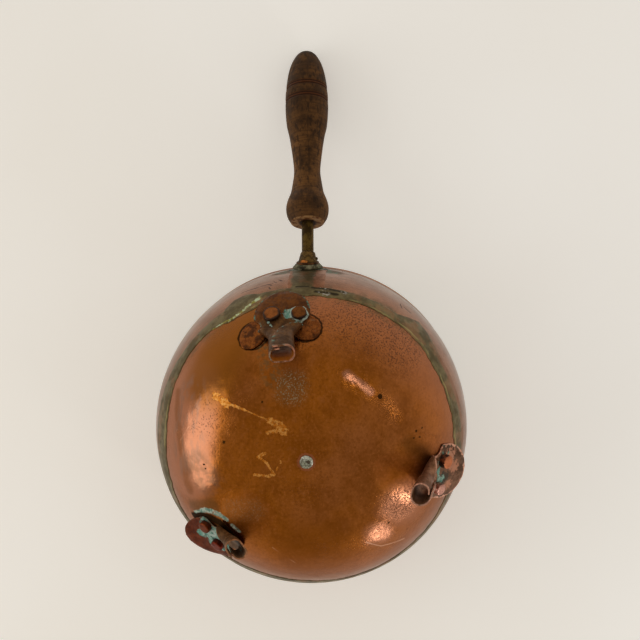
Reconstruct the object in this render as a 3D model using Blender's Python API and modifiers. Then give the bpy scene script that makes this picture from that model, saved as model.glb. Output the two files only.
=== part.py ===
"""Copper saucepan on three rolled feet, with a turned wooden handle.

The pan stands upright, +Z up, and its handle points along +X. The origin lies on the floor,
under the middle of the whole pan's bounding box. Lengths are in metres.

The body is modelled about its own axis: height 0 is the underside of the domed base, where the
axis meets it, and azimuths are counted from the handle towards +Y.
"""
import math

import bmesh
import bpy
import numpy as np
from mathutils import Matrix, Vector

MM = 0.001

# Clearance between pieces that touch
FIT = 0.3 * MM

# Sheet copper body
BELLY_RADIUS = 100.0 * MM
BELLY_HEIGHT = 90.0 * MM
BOWL_ROUNDNESS = 2.45
RIM_HEIGHT = 122.0 * MM
RIM_DRAW_IN = 3.0 * MM
LIP_HEIGHT = 3.5 * MM
LIP_FLARE = 1.2 * MM
SHEET = 1.5 * MM

# Brazed seams of the body
BASE_SEAM_LOW = 45.0 * MM
BASE_SEAM_HIGH = 52.0 * MM
BRAZE_PROUD = 0.2 * MM
SIDE_SEAM_WIDTH = 20.0 * MM

# Rivet that closes the hole in the middle of the base
PLUG_HEAD_DIAMETER = 10.0 * MM
PLUG_SHANK_DIAMETER = 5.0 * MM
PLUG_HEAD_HEIGHT = 0.9 * MM

# Feet: a riveted tab above, rolled into a hollow leg below
FOOT_CLEARANCE = 15.0 * MM
FOOT_SHEET = 1.2 * MM
TAB_WIDTH = 34.0 * MM
TAB_DROP = 6.0 * MM
LEG_BEND_LENGTH = 6.0 * MM
ROLL_FLAT_AT_RIVETS = 32.0 * MM
ROLL_LAP = 2.4 * MM
ROLL_ROOT_SCALE = 0.78
ROLL_LENGTH = 27.0 * MM
LEG_TRIM = 6.0 * MM

# Rivets of the feet
RIVET_SHANK_DIAMETER = 5.0 * MM
RIVET_TAIL_DIAMETER = 9.0 * MM
RIVET_TAIL_HEIGHT = 1.5 * MM

# Lobed patch under the front foot
PATCH_SHEET = 1.0 * MM
PATCH_SHIFT = -4.5 * MM
PATCH_EAR_RADIUS = 9.0 * MM
PATCH_EAR_SPREAD = 16.7 * MM
PATCH_EAR_DROP = 9.5 * MM
PATCH_CROWN_RADIUS = 15.0 * MM
PATCH_CROWN_SHIFT = -3.5 * MM
PATCH_CROWN_RISE = 3.0 * MM

# Handle: a raked rod with a short level spigot through the wall
HANDLE_HEIGHT = 100.0 * MM
HANDLE_RAKE = math.radians(30.0)
ROD_DIAMETER = 7.7 * MM
SPIGOT_DIAMETER = 6.0 * MM
SPIGOT_REACH = 2.0 * MM
ROD_IN_GRIP = 70.0 * MM
PEEN_DIAMETER = 10.5 * MM
PEEN_HEIGHT = 2.0 * MM
INNER_WASHER_DIAMETER = 16.0 * MM
INNER_WASHER_THICKNESS = 1.2 * MM

# Seat of the handle on the wall, from the wall outwards
SOLDER_WIDTH = 27.0 * MM
SOLDER_HEIGHT = 19.0 * MM
SOLDER_THICKNESS = 0.7 * MM
FLANGE_DIAMETER = 19.5 * MM
FLANGE_TOP_DIAMETER = 16.0 * MM
FLANGE_THICKNESS = 2.2 * MM
WASHER_DIAMETER = 15.0 * MM
WASHER_THICKNESS = 0.9 * MM
COLLAR_DIAMETER = 14.0 * MM
COLLAR_TOP_DIAMETER = 9.6 * MM
COLLAR_LENGTH = 9.0 * MM

# Turned wooden grip, measured from its lower end face along the handle
GRIP_START = 29.8 * MM
GRIP_LENGTH = 127.6 * MM
GRIP_FACE_DIAMETER = 21.6 * MM
GRIP_BULB_AT = 10.5 * MM
GRIP_BULB_DIAMETER = 28.3 * MM
GRIP_WAIST_AT = 37.0 * MM
GRIP_WAIST_DIAMETER = 17.8 * MM
GRIP_SWELL_AT = 87.0 * MM
GRIP_SWELL_DIAMETER = 29.2 * MM
GROOVE_POSITIONS = (88.4 * MM, 97.6 * MM)
GROOVE_WIDTH = 1.8 * MM
GROOVE_DEPTH = 0.6 * MM

# Facets
BODY_STEPS = 52
BOWL_RINGS = 10
PATCH_STEPS = 100
TAB_ROWS = 6
LEG_ROWS = 10
FOOT_COLUMNS = 20
SMOOTH_ANGLE = math.radians(35.0)

# Each foot. The rivets: azimuth and height of their middle, spacing, height of the heads, and their
# diameters, the one of the lower azimuth first. The tab: lean towards greater azimuths, shift from
# the rivets, rise above them, sideways shift and rounding power of its top, how straight it stands
# off the bowl (0 to 1), how far its top is bent out. The leg: width of the flat back and radius of
# the roll's round sides, radius and azimuth of the tip.
FEET = (
    dict(name="front_foot",
         azimuth=-7.6, row=29.3 * MM, spacing=16.0 * MM, head_height=2.2 * MM, heads=(10.5 * MM, 9.0 * MM),
         lean=8.0, shift=-2.5 * MM, rise=19.5 * MM, crown_shift=0.0, crown=2.3, straight=0.1, top_bend=0.3 * MM,
         flat=5.6 * MM, curl=4.8 * MM, tip_radius=68.9 * MM, tip_azimuth=-10.0),
    dict(name="right_foot",
         azimuth=101.9, row=27.3 * MM, spacing=16.8 * MM, head_height=3.6 * MM, heads=(8.6 * MM, 7.4 * MM),
         lean=4.0, shift=-1.5 * MM, rise=21.0 * MM, crown_shift=0.0, crown=2.3, straight=1.0, top_bend=2.0 * MM,
         flat=2.4 * MM, curl=6.0 * MM, tip_radius=68.0 * MM, tip_azimuth=103.8),
    dict(name="left_foot",
         azimuth=-130.8, row=24.7 * MM, spacing=14.4 * MM, head_height=3.0 * MM, heads=(8.0 * MM, 7.8 * MM),
         lean=18.0, shift=-4.5 * MM, rise=24.0 * MM, crown_shift=3.0 * MM, crown=1.5, straight=1.0,
         top_bend=2.5 * MM, flat=4.0 * MM, curl=5.2 * MM, tip_radius=63.6 * MM, tip_azimuth=-140.6),
)
PATCHED_FOOT = "front_foot"

COPPER = ((0.45, 0.17, 0.07), 0.34, 1.0)
OLD_COPPER = ((0.30, 0.10, 0.04), 0.42, 1.0)
BRASS = ((0.24, 0.20, 0.09), 0.45, 1.0)
TIN = ((0.45, 0.45, 0.40), 0.50, 1.0)
WOOD = ((0.10, 0.045, 0.02), 0.55, 0.0)


def clear_scene():
    for old in list(bpy.data.objects):
        bpy.data.objects.remove(old, do_unlink=True)


def make_collection(name):
    collection = bpy.data.collections.new(name)
    bpy.context.scene.collection.children.link(collection)
    return collection


def make_material(name, finish):
    colour, roughness, metallic = finish
    material = bpy.data.materials.new(name)
    material.use_nodes = True
    shader = material.node_tree.nodes["Principled BSDF"]
    shader.inputs["Base Color"].default_value = (*colour, 1.0)
    shader.inputs["Roughness"].default_value = roughness
    shader.inputs["Metallic"].default_value = metallic
    material.diffuse_color = (*colour, 1.0)
    return material


def add_object(name, mesh, collection, parent):
    made = bpy.data.objects.new(name, mesh)
    collection.objects.link(made)
    made.parent = parent
    return made


def settle(made, finish=None):
    """Applies the modifiers, shades the round faces smooth and gives the piece its material."""
    bpy.context.view_layer.update()
    graph = bpy.context.evaluated_depsgraph_get()
    mesh = bpy.data.meshes.new_from_object(made.evaluated_get(graph))
    made.modifiers.clear()
    made.data = mesh
    mesh.name = made.name
    mesh.shade_smooth()
    mesh.set_sharp_from_angle(angle=SMOOTH_ANGLE)
    if finish:
        mesh.materials.clear()
        mesh.materials.append(make_material(made.name, finish))
    return made


def hide_as_cutter(made):
    made.hide_render = True
    made.display_type = "WIRE"
    return made


def combine(made, other, operation):
    step = made.modifiers.new(operation.title(), "BOOLEAN")
    step.operation = operation
    step.solver = "EXACT"
    step.object = other


def add_turned(name, outline, collection, parent, steps):
    """A turned piece: the outline is a run of (radius, height) pairs, from top to bottom."""
    mesh = bpy.data.meshes.new(name)
    vertices = [(radius, 0.0, height) for radius, height in outline]
    edges = [(index, index + 1) for index in range(len(outline) - 1)]
    mesh.from_pydata(vertices, edges, [])
    made = add_object(name, mesh, collection, parent)
    screw = made.modifiers.new("Turn", "SCREW")
    screw.steps = steps
    screw.render_steps = steps
    screw.use_merge_vertices = True
    screw.merge_threshold = 0.00001
    return made


def add_cylinder(name, radius, low, high, collection, parent, top_radius=None, steps=32):
    """A cylinder or cone on the local Z axis, from height low to height high."""
    mesh = bpy.data.meshes.new(name)
    shape = bmesh.new()
    bmesh.ops.create_cone(
        shape, cap_ends=True, segments=steps, radius1=radius,
        radius2=radius if top_radius is None else top_radius, depth=high - low,
        matrix=Matrix.Translation((0.0, 0.0, (low + high) / 2.0)))
    shape.to_mesh(mesh)
    shape.free()
    return add_object(name, mesh, collection, parent)


def add_box(name, low, high, collection, parent):
    mesh = bpy.data.meshes.new(name)
    shape = bmesh.new()
    size = Vector(high) - Vector(low)
    middle = (Vector(high) + Vector(low)) / 2.0
    bmesh.ops.create_cube(shape, size=1.0, matrix=Matrix.Translation(middle) @ Matrix.Diagonal(size).to_4x4())
    shape.to_mesh(mesh)
    shape.free()
    return add_object(name, mesh, collection, parent)


def smooth_step(value):
    clamped = min(max(value, 0.0), 1.0)
    return clamped * clamped * (3.0 - 2.0 * clamped)


# The body's outer meridian: a superellipse up to the belly, then a wall drawn in towards the rim

def body_radius(height):
    if height <= BELLY_HEIGHT:
        rise = 1.0 - max(height, 0.0) / BELLY_HEIGHT
        return BELLY_RADIUS * (1.0 - rise ** BOWL_ROUNDNESS) ** (1.0 / BOWL_ROUNDNESS)
    share = (height - BELLY_HEIGHT) / (RIM_HEIGHT - BELLY_HEIGHT)
    flare = LIP_FLARE * smooth_step((height - RIM_HEIGHT + LIP_HEIGHT) / LIP_HEIGHT)
    return BELLY_RADIUS - RIM_DRAW_IN * share ** 2 + flare


def body_normal(height):
    """Outward normal of the meridian, as (radial, vertical) parts."""
    step = 0.01 * MM
    low = max(height - step, 0.0)
    slope = Vector((body_radius(height + step) - body_radius(low), height + step - low)).normalized()
    return Vector((slope.y, -slope.x))


def bowl_height(turn):
    """Height on the bowl, for a turn of 0 at the dome's middle to a quarter circle at the belly."""
    return BELLY_HEIGHT * (1.0 - math.cos(turn) ** (2.0 / BOWL_ROUNDNESS))


def meridian_samples(low, high, count):
    """Heights between two heights, closer together where the bowl turns towards its flat base."""
    turns = np.linspace(0.0, math.pi / 2.0, 400)
    table = [bowl_height(turn) for turn in turns] + list(np.linspace(BELLY_HEIGHT, RIM_HEIGHT, 200)[1:])
    radii = [body_radius(height) for height in table]
    travel = np.concatenate([[0.0], np.cumsum(np.hypot(np.diff(radii), np.diff(table)))])
    ends = np.interp([low, high], table, travel)
    return [float(height) for height in np.interp(np.linspace(*ends, count), travel, table)]


def travel_to_height(start, travel):
    """Height reached from a starting height by going a signed distance up the meridian."""
    step = 0.25 * MM
    height = start
    left = abs(travel)
    while left > 0.0:
        stride = min(step, left)
        rise = body_normal(height).x
        height += math.copysign(stride * rise, travel)
        left -= stride
    return height


def body_outline(low, high, count, proud=0.0):
    outline = []
    for height in reversed(meridian_samples(low, high, count)):
        normal = body_normal(height)
        outline.append((body_radius(height) + proud * normal.x, height + proud * normal.y))
    return outline


def body_point(azimuth, height, proud=0.0):
    """A point on the outer surface and the outward normal there."""
    around = Vector((math.cos(azimuth), math.sin(azimuth), 0.0))
    slope = body_normal(height)
    normal = around * slope.x + Vector((0.0, 0.0, slope.y))
    point = around * body_radius(height) + Vector((0.0, 0.0, height))
    return point + normal * proud, normal


def add_shell(name, outline, thickness, collection, parent, steps=BODY_STEPS):
    """A turned shell, whose thickness grows inwards from the outline."""
    made = add_turned(name, outline, collection, parent, steps)
    wall = made.modifiers.new("Wall", "SOLIDIFY")
    wall.thickness = thickness
    wall.offset = -1.0
    wall.use_even_offset = True
    return made


# Body

def make_base_bowl(parts, pan):
    outline = body_outline(0.0, BASE_SEAM_LOW - FIT, BOWL_RINGS)
    outline[-1] = (0.0, 0.0)
    return add_shell("base_bowl", outline, SHEET, parts, pan)


def make_base_seam(parts, pan):
    outline = body_outline(BASE_SEAM_LOW, BASE_SEAM_HIGH, 3, BRAZE_PROUD)
    made = add_shell("base_seam_braze", outline, SHEET + 2.0 * BRAZE_PROUD, parts, pan)
    return settle(made, BRASS)


def make_wall_ring(name, collection, pan):
    low = BASE_SEAM_HIGH + FIT
    outline = body_outline(RIM_HEIGHT - LIP_HEIGHT, RIM_HEIGHT, 3)
    outline += body_outline(low, RIM_HEIGHT - LIP_HEIGHT, 7)[1:]
    return add_shell(name, outline, SHEET, collection, pan)


def make_side_wall(parts, cutters, pan):
    """The wall is one band, whose two ends meet under the handle in a brazed seam."""
    wall = make_wall_ring("side_wall", parts, pan)
    strip = make_wall_ring("side_seam_braze", parts, pan)
    reach = BELLY_RADIUS * 1.2
    for piece, half, operation in ((wall, SIDE_SEAM_WIDTH / 2.0 + FIT, "DIFFERENCE"),
                                   (strip, SIDE_SEAM_WIDTH / 2.0, "INTERSECT")):
        cutter = add_box(piece.name + "_ends", (0.0, -half, 0.0), (reach, half, RIM_HEIGHT * 1.2),
                         cutters, pan)
        combine(piece, hide_as_cutter(cutter), operation)
    settle(wall, COPPER)
    return strip


def make_plug(parts, cutters, pan, bowl):
    """A low rivet through the middle of the base, headed on both sides."""
    head = PLUG_HEAD_DIAMETER / 2.0
    shank = PLUG_SHANK_DIAMETER / 2.0
    inside = SHEET + FIT
    outline = [
        (0.0, inside + PLUG_HEAD_HEIGHT),
        (head * 0.7, inside + PLUG_HEAD_HEIGHT * 0.8),
        (head, inside),
        (shank, inside),
        (shank, -2.0 * FIT),
        (head, -2.0 * FIT),
        (head * 0.8, -2.0 * FIT - PLUG_HEAD_HEIGHT * 0.8),
        (0.0, -2.0 * FIT - PLUG_HEAD_HEIGHT),
    ]
    made = add_turned("centre_plug", outline, parts, pan, 20)
    hole = add_cylinder("plug_hole", shank + FIT, -5.0 * MM, 5.0 * MM, cutters, pan)
    combine(bowl, hide_as_cutter(hole), "DIFFERENCE")
    return settle(made, TIN)


# Feet

def tab_place(foot, across, up):
    """Azimuth and height on the body of a point of the tab, measured from between its rivets."""
    lean = math.radians(foot["lean"])
    sideways = across * math.cos(lean) + up * math.sin(lean)
    upwards = up * math.cos(lean) - across * math.sin(lean)
    height = travel_to_height(foot["row"], upwards)
    return sideways / body_radius(height), height


def foot_seat(foot):
    """Height of the tab's underside over the bowl."""
    return FIT + (PATCH_SHEET + FIT if foot["name"] == PATCHED_FOOT else 0.0)


def tab_half_width(foot, up):
    """Half the tab's width: full up to the rivets, rounded off above them."""
    share = max(up, 0.0) / foot["rise"]
    return TAB_WIDTH / 2.0 * (1.0 - min(share, 0.985) ** foot["crown"]) ** 0.5


def tab_surface(foot, across, up):
    """A point of the tab's underside before its edges are folded up, and the outward normal there."""
    lift = foot_seat(foot) + foot["top_bend"] * max(up / foot["rise"], 0.0) ** 2
    azimuth, height = tab_place(foot, across, up)
    bent, bent_normal = body_point(azimuth, height, lift)
    azimuth, height = tab_place(foot, across, 0.0)
    level, level_normal = body_point(azimuth, height)
    along_tab = surface_frame(level, level_normal, azimuth, math.radians(foot["lean"])).col[1].to_3d()
    straight = level + level_normal * lift + along_tab * up
    normal = bent_normal.lerp(level_normal, foot["straight"]).normalized()
    return bent.lerp(straight, foot["straight"]), normal


def roll_section(foot, share, half_width, down):
    """Sideways and outward reach of a point on the sheet, a distance down from its rivets.

    The back stays flat and narrows downwards. The edges curl up along it and grow round a
    flattened oval, until one flap laps over the other at the front.
    """
    laps_over = share >= 0.0
    done = smooth_step(down / ROLL_LENGTH)
    flat = (ROLL_FLAT_AT_RIVETS + (foot["flat"] - ROLL_FLAT_AT_RIVETS) * done) / 2.0
    curl = foot["curl"] * (ROLL_ROOT_SCALE + (1.0 - ROLL_ROOT_SCALE) * done)
    curl -= 0.0 if laps_over else (FOOT_SHEET + 1.5 * FIT) / 2.0
    closed = foot["flat"] + math.pi * curl + (ROLL_LAP if laps_over else -1.5 * FIT)
    width = half_width + (closed - half_width) * smooth_step(down / ROLL_LENGTH - 0.35)
    travel = abs(share) * width
    turn = (travel - flat) / curl
    if turn <= 0.0:
        reach, rise = travel, 0.0
    elif turn <= math.pi:
        reach, rise = flat + curl * math.sin(turn), curl * (1.0 - math.cos(turn))
    else:
        reach, rise = flat - curl * (turn - math.pi), 2.0 * curl
    return (reach if laps_over else -reach), rise


def tab_point(foot, share, up):
    """A point of the tab's underside; share runs across it from -1 to 1."""
    reach, rise = roll_section(foot, share, tab_half_width(foot, up), max(-up, 0.0))
    middle = foot["shift"] + foot["crown_shift"] * (max(up, 0.0) / foot["rise"]) ** 1.5
    point, normal = tab_surface(foot, reach + middle, up)
    return point + normal * rise, normal


def bezier(points, share):
    """Place and direction at a share of the way along a curve of four points."""
    first, second, third, fourth = points
    rest = 1.0 - share
    place = first * rest ** 3 + second * 3 * rest ** 2 * share
    place += third * 3 * rest * share ** 2 + fourth * share ** 3
    run = (second - first) * rest ** 2 + (third - second) * 2 * rest * share + (fourth - third) * share ** 2
    return place, run.normalized()


def leg_spine(foot, start, down):
    """The back of the leg, from the tab's bend to below the floor, as four curve points."""
    turn = math.radians(foot["tip_azimuth"] - foot["azimuth"])
    outward = Vector((math.cos(turn), math.sin(turn), 0.0))
    tip = outward * (foot["tip_radius"] - foot["curl"]) + Vector((0.0, 0.0, -FOOT_CLEARANCE))
    chord = tip - start
    drop = (chord.normalized() + Vector((0.0, 0.0, -0.6))).normalized()
    end = tip + drop * LEG_TRIM
    return start, start + down * LEG_BEND_LENGTH, end - drop * chord.length * 0.45, end


def foot_rows(foot):
    """The foot's sheet as rows of points, from the top of the tab to below the leg's tip."""
    shares = np.linspace(-1.0, 1.0, FOOT_COLUMNS + 1)
    rises = [foot["rise"] * (1.0 - (row / TAB_ROWS) ** 1.7) for row in range(TAB_ROWS)]
    rises += [0.0, -TAB_DROP / 2.0, -TAB_DROP]
    rows = [[tab_point(foot, share, up)[0] for share in shares] for up in rises]
    start, normal = tab_surface(foot, foot["shift"], -TAB_DROP)
    down = (start - tab_surface(foot, foot["shift"], -TAB_DROP + 1.0 * MM)[0]).normalized()
    beside = tab_surface(foot, foot["shift"] + 1.0 * MM, -TAB_DROP)[0]
    across = (beside - start).normalized()
    spine = leg_spine(foot, start, down)
    sections = [roll_section(foot, share, TAB_WIDTH / 2.0, TAB_DROP) for share in shares]
    level = [start + across * reach + normal * rise for reach, rise in sections]
    sag = [point - flat for point, flat in zip(rows[-1], level)]
    travel = 0.0
    before = start
    for row in range(1, LEG_ROWS + 1):
        along = (row / LEG_ROWS) ** 1.2
        place, run = bezier(spine, along)
        travel += (place - before).length
        before = place
        sideways = (across - run * across.dot(run)).normalized()
        outward = sideways.cross(run)
        outward = outward if outward.dot(normal) > 0.0 else -outward
        points = []
        for share, drop in zip(shares, sag):
            reach, rise = roll_section(foot, share, TAB_WIDTH / 2.0, TAB_DROP + travel)
            points.append(place + sideways * reach + outward * rise + drop * (1.0 - smooth_step(along / 0.3)))
        rows.append(points)
    return rows


def make_foot(foot, parts, cutters, pan):
    rows = foot_rows(foot)
    vertices = [point for row in rows for point in row]
    width = FOOT_COLUMNS + 1
    faces = []
    for row in range(len(rows) - 1):
        for column in range(FOOT_COLUMNS):
            corner = row * width + column
            faces.append((corner, corner + width, corner + width + 1, corner + 1))
    mesh = bpy.data.meshes.new(foot["name"])
    mesh.from_pydata(vertices, [], faces)
    made = add_object(foot["name"], mesh, parts, pan)
    made.rotation_euler.z = math.radians(foot["azimuth"])
    sheet = made.modifiers.new("Sheet", "SOLIDIFY")
    sheet.thickness = FOOT_SHEET
    sheet.offset = 1.0
    sheet.use_even_offset = True
    reach = BELLY_RADIUS * 1.5
    floor = add_box(foot["name"] + "_floor", (-reach, -reach, -FOOT_CLEARANCE - reach),
                    (reach, reach, -FOOT_CLEARANCE), cutters, pan)
    combine(made, hide_as_cutter(floor), "DIFFERENCE")
    return made


def make_patch(foot, parts, cutters, pan):
    """A lobed patch that follows the bowl: a skin over it, kept where three discs cover it."""
    low = travel_to_height(foot["row"], -30.0 * MM)
    high = travel_to_height(foot["row"], 24.0 * MM)
    proud = FIT + PATCH_SHEET
    made = add_shell("front_foot_patch", body_outline(low, high, 12, proud), PATCH_SHEET, parts, pan,
                     steps=PATCH_STEPS)
    azimuth = math.radians(foot["azimuth"])
    place, normal = body_point(azimuth, foot["row"])
    frame = surface_frame(place, normal, azimuth, math.radians(foot["lean"]))
    ear_places = [(PATCH_SHIFT + side * PATCH_EAR_SPREAD, -PATCH_EAR_DROP) for side in (-1.0, 1.0)]
    discs = [((PATCH_CROWN_SHIFT, PATCH_CROWN_RISE), PATCH_CROWN_RADIUS)]
    discs += [(ear, PATCH_EAR_RADIUS) for ear in ear_places]
    outline = None
    for number, ((across, up), radius) in enumerate(discs):
        disc = add_cylinder(f"patch_lobe_{number}", radius, -20.0 * MM, 12.0 * MM, cutters, pan)
        disc.matrix_local = frame @ Matrix.Translation((across, up, number * 0.1 * MM))
        hide_as_cutter(disc)
        if outline is None:
            outline = disc
        else:
            combine(outline, disc, "UNION")
    combine(made, outline, "INTERSECT")
    return made


def surface_frame(place, normal, azimuth, lean):
    """A frame on the body: Z outwards, Y up the tab, X towards greater azimuths."""
    around = Vector((-math.sin(azimuth), math.cos(azimuth), 0.0))
    up = around.cross(normal)
    up = up if up.z > 0.0 else -up
    tab_up = up * math.cos(lean) + around * math.sin(lean)
    tab_across = tab_up.cross(normal)
    turned = Matrix((tab_across, tab_up, normal)).transposed()
    return Matrix.Translation(place) @ turned.to_4x4()


def make_foot_rivets(foot, drilled, parts, cutters, pan):
    """Two flat-headed rivets through the tab and the bowl, peened over inside."""
    seat = foot_seat(foot) + FOOT_SHEET + 2.0 * FIT
    top = seat + foot["head_height"]
    inside = -SHEET - 2.0 * FIT
    shank = RIVET_SHANK_DIAMETER / 2.0
    tail = RIVET_TAIL_DIAMETER / 2.0
    for side, diameter, label in ((-1.0, foot["heads"][0], "rivet_a"), (1.0, foot["heads"][1], "rivet_b")):
        head = diameter / 2.0
        outline = [
            (0.0, top),
            (head * 0.85, top - 0.1 * MM),
            (head, top - 0.6 * MM),
            (head, seat),
            (shank, seat),
            (shank, inside),
            (tail, inside),
            (tail * 0.7, inside - RIVET_TAIL_HEIGHT * 0.8),
            (0.0, inside - RIVET_TAIL_HEIGHT),
        ]
        name = f"{foot['name']}_{label}"
        offset, height = tab_place(foot, side * foot["spacing"] / 2.0, 0.0)
        azimuth = math.radians(foot["azimuth"]) + offset
        place, normal = body_point(azimuth, height)
        frame = surface_frame(place, normal, azimuth, 0.0)
        rivet = add_turned(name, outline, parts, pan, 16)
        rivet.matrix_local = frame
        settle(rivet, OLD_COPPER)
        hole = add_cylinder(name + "_hole", shank + FIT, -8.0 * MM, 8.0 * MM, cutters, pan, steps=16)
        hole.matrix_local = frame
        hide_as_cutter(hole)
        for piece in drilled:
            combine(piece, hole, "DIFFERENCE")


# Handle

def handle_frame():
    """A frame whose Z runs along the raked rod, from where the spigot's level part ends."""
    bend = Vector((body_radius(HANDLE_HEIGHT) + SPIGOT_REACH, 0.0, HANDLE_HEIGHT))
    tilt = Matrix.Rotation(math.pi / 2.0 - HANDLE_RAKE, 4, "Y")
    return Matrix.Translation(bend) @ tilt


def wall_frame():
    """A frame whose Z runs straight out of the wall at the handle."""
    place = Vector((body_radius(HANDLE_HEIGHT), 0.0, HANDLE_HEIGHT))
    return Matrix.Translation(place) @ Matrix.Rotation(math.pi / 2.0, 4, "Y")


def rod_length():
    """Length of the raked rod, from the bend to its end inside the grip."""
    return GRIP_START + ROD_IN_GRIP


def add_rod(name, clearance, collection, pan):
    """The raked rod with its spigot; a clearance makes it the cutter for what it passes through."""
    rod = add_cylinder(name, ROD_DIAMETER / 2.0 + clearance, -clearance, rod_length() + clearance,
                       collection, pan, steps=24)
    rod.matrix_local = handle_frame()
    return rod


def make_tang(parts, cutters, pan):
    rod = add_rod("handle_tang", 0.0, parts, pan)
    inside = -SHEET - INNER_WASHER_THICKNESS - 3.0 * FIT
    spigot = SPIGOT_DIAMETER / 2.0
    peen = PEEN_DIAMETER / 2.0
    outline = [
        (0.0, SPIGOT_REACH + ROD_DIAMETER * 0.35),
        (spigot, SPIGOT_REACH + ROD_DIAMETER * 0.2),
        (spigot, inside),
        (peen, inside),
        (peen * 0.75, inside - PEEN_HEIGHT * 0.8),
        (0.0, inside - PEEN_HEIGHT),
    ]
    stub = add_turned("tang_spigot", outline, cutters, pan, 24)
    stub.matrix_local = wall_frame()
    combine(rod, hide_as_cutter(stub), "UNION")
    return settle(rod, BRASS)


def make_rod_cutters(cutters, pan):
    """The room that the rod and its spigot need in the pieces around them."""
    rod = hide_as_cutter(add_rod("rod_room", FIT, cutters, pan))
    spigot = add_cylinder("spigot_room", SPIGOT_DIAMETER / 2.0 + FIT, -12.0 * MM, SPIGOT_REACH + 1.5 * MM,
                          cutters, pan, steps=24)
    spigot.matrix_local = wall_frame()
    combine(rod, hide_as_cutter(spigot), "UNION")
    return rod


def make_handle_seat(parts, cutters, pan, room):
    """Solder pad, flange, washer and collar, stacked from the wall outwards along the handle."""
    pad = add_wall_pad("handle_solder", SOLDER_HEIGHT, SOLDER_WIDTH, FIT + SOLDER_THICKNESS, SOLDER_THICKNESS,
                       parts, cutters, pan)
    pad_top = FIT + SOLDER_THICKNESS
    flange_low = pad_top + FIT
    flange_high = flange_low + FLANGE_THICKNESS
    washer_low = flange_high + FIT
    washer_high = washer_low + WASHER_THICKNESS
    flange = add_cylinder("handle_flange", FLANGE_DIAMETER / 2.0, -2.0 * MM, flange_high, parts, pan,
                          top_radius=FLANGE_TOP_DIAMETER / 2.0, steps=32)
    flange.matrix_local = wall_frame()
    skin_outline = body_outline(HANDLE_HEIGHT - FLANGE_DIAMETER, HANDLE_HEIGHT + FLANGE_DIAMETER, 5, flange_low)
    body_room = add_shell("body_room", skin_outline, 30.0 * MM, cutters, pan, steps=120)
    combine(flange, hide_as_cutter(body_room), "DIFFERENCE")
    washer = add_cylinder("handle_washer", WASHER_DIAMETER / 2.0, washer_low, washer_high,
                          parts, pan, steps=28)
    washer.matrix_local = wall_frame()
    collar = add_cylinder("handle_collar", COLLAR_DIAMETER / 2.0, -COLLAR_LENGTH, COLLAR_LENGTH, parts, pan,
                          top_radius=COLLAR_TOP_DIAMETER / 2.0, steps=24)
    collar.matrix_local = handle_frame()
    reach = 40.0 * MM
    below = add_box("collar_seat", (-reach, -reach, -reach), (reach, reach, washer_high + FIT), cutters, pan)
    below.matrix_local = wall_frame()
    combine(collar, hide_as_cutter(below), "DIFFERENCE")
    for piece, finish in ((pad, TIN), (flange, BRASS), (washer, COPPER), (collar, BRASS)):
        combine(piece, room, "DIFFERENCE")
        settle(piece, finish)


def add_wall_pad(name, height, width, proud, thickness, parts, cutters, pan):
    """An oval pad round the spigot that follows the wall, its outer face a distance proud of it."""
    outline = body_outline(HANDLE_HEIGHT - height, HANDLE_HEIGHT + height, 6, proud)
    pad = add_shell(name, outline, thickness, parts, pan, steps=120)
    oval = add_cylinder(name + "_outline", 0.5, -10.0 * MM, 10.0 * MM, cutters, pan, steps=36)
    for vertex in oval.data.vertices:
        vertex.co.x *= height
        vertex.co.y *= width
    oval.matrix_local = wall_frame()
    combine(pad, hide_as_cutter(oval), "INTERSECT")
    return pad


def make_inner_washer(parts, cutters, pan, room):
    """A washer inside the wall, dished to it, that the tang is peened over."""
    washer = add_wall_pad("inner_washer", INNER_WASHER_DIAMETER, INNER_WASHER_DIAMETER, -SHEET - FIT,
                          INNER_WASHER_THICKNESS, parts, cutters, pan)
    combine(washer, room, "DIFFERENCE")
    return settle(washer, COPPER)


def grip_stations():
    """Distance along the grip and diameter, at the places that give the turned outline its shape."""
    tip = GRIP_LENGTH
    return (
        (0.0, GRIP_FACE_DIAMETER),
        (GRIP_BULB_AT * 0.45, GRIP_BULB_DIAMETER * 0.945),
        (GRIP_BULB_AT, GRIP_BULB_DIAMETER),
        (GRIP_BULB_AT * 1.5, GRIP_BULB_DIAMETER * 0.93),
        (GRIP_BULB_AT * 2.0, GRIP_BULB_DIAMETER * 0.79),
        (GRIP_BULB_AT * 2.6, GRIP_WAIST_DIAMETER * 1.12),
        (GRIP_WAIST_AT, GRIP_WAIST_DIAMETER),
        (GRIP_WAIST_AT * 1.35, GRIP_WAIST_DIAMETER * 1.13),
        (GRIP_WAIST_AT * 1.7, GRIP_SWELL_DIAMETER * 0.82),
        (GRIP_SWELL_AT * 0.82, GRIP_SWELL_DIAMETER * 0.94),
        (GRIP_SWELL_AT, GRIP_SWELL_DIAMETER),
        (tip * 0.78, GRIP_SWELL_DIAMETER * 0.96),
        (tip * 0.87, GRIP_SWELL_DIAMETER * 0.84),
        (tip * 0.94, GRIP_SWELL_DIAMETER * 0.63),
        (tip * 0.985, GRIP_SWELL_DIAMETER * 0.35),
        (tip, 0.0),
    )


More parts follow.
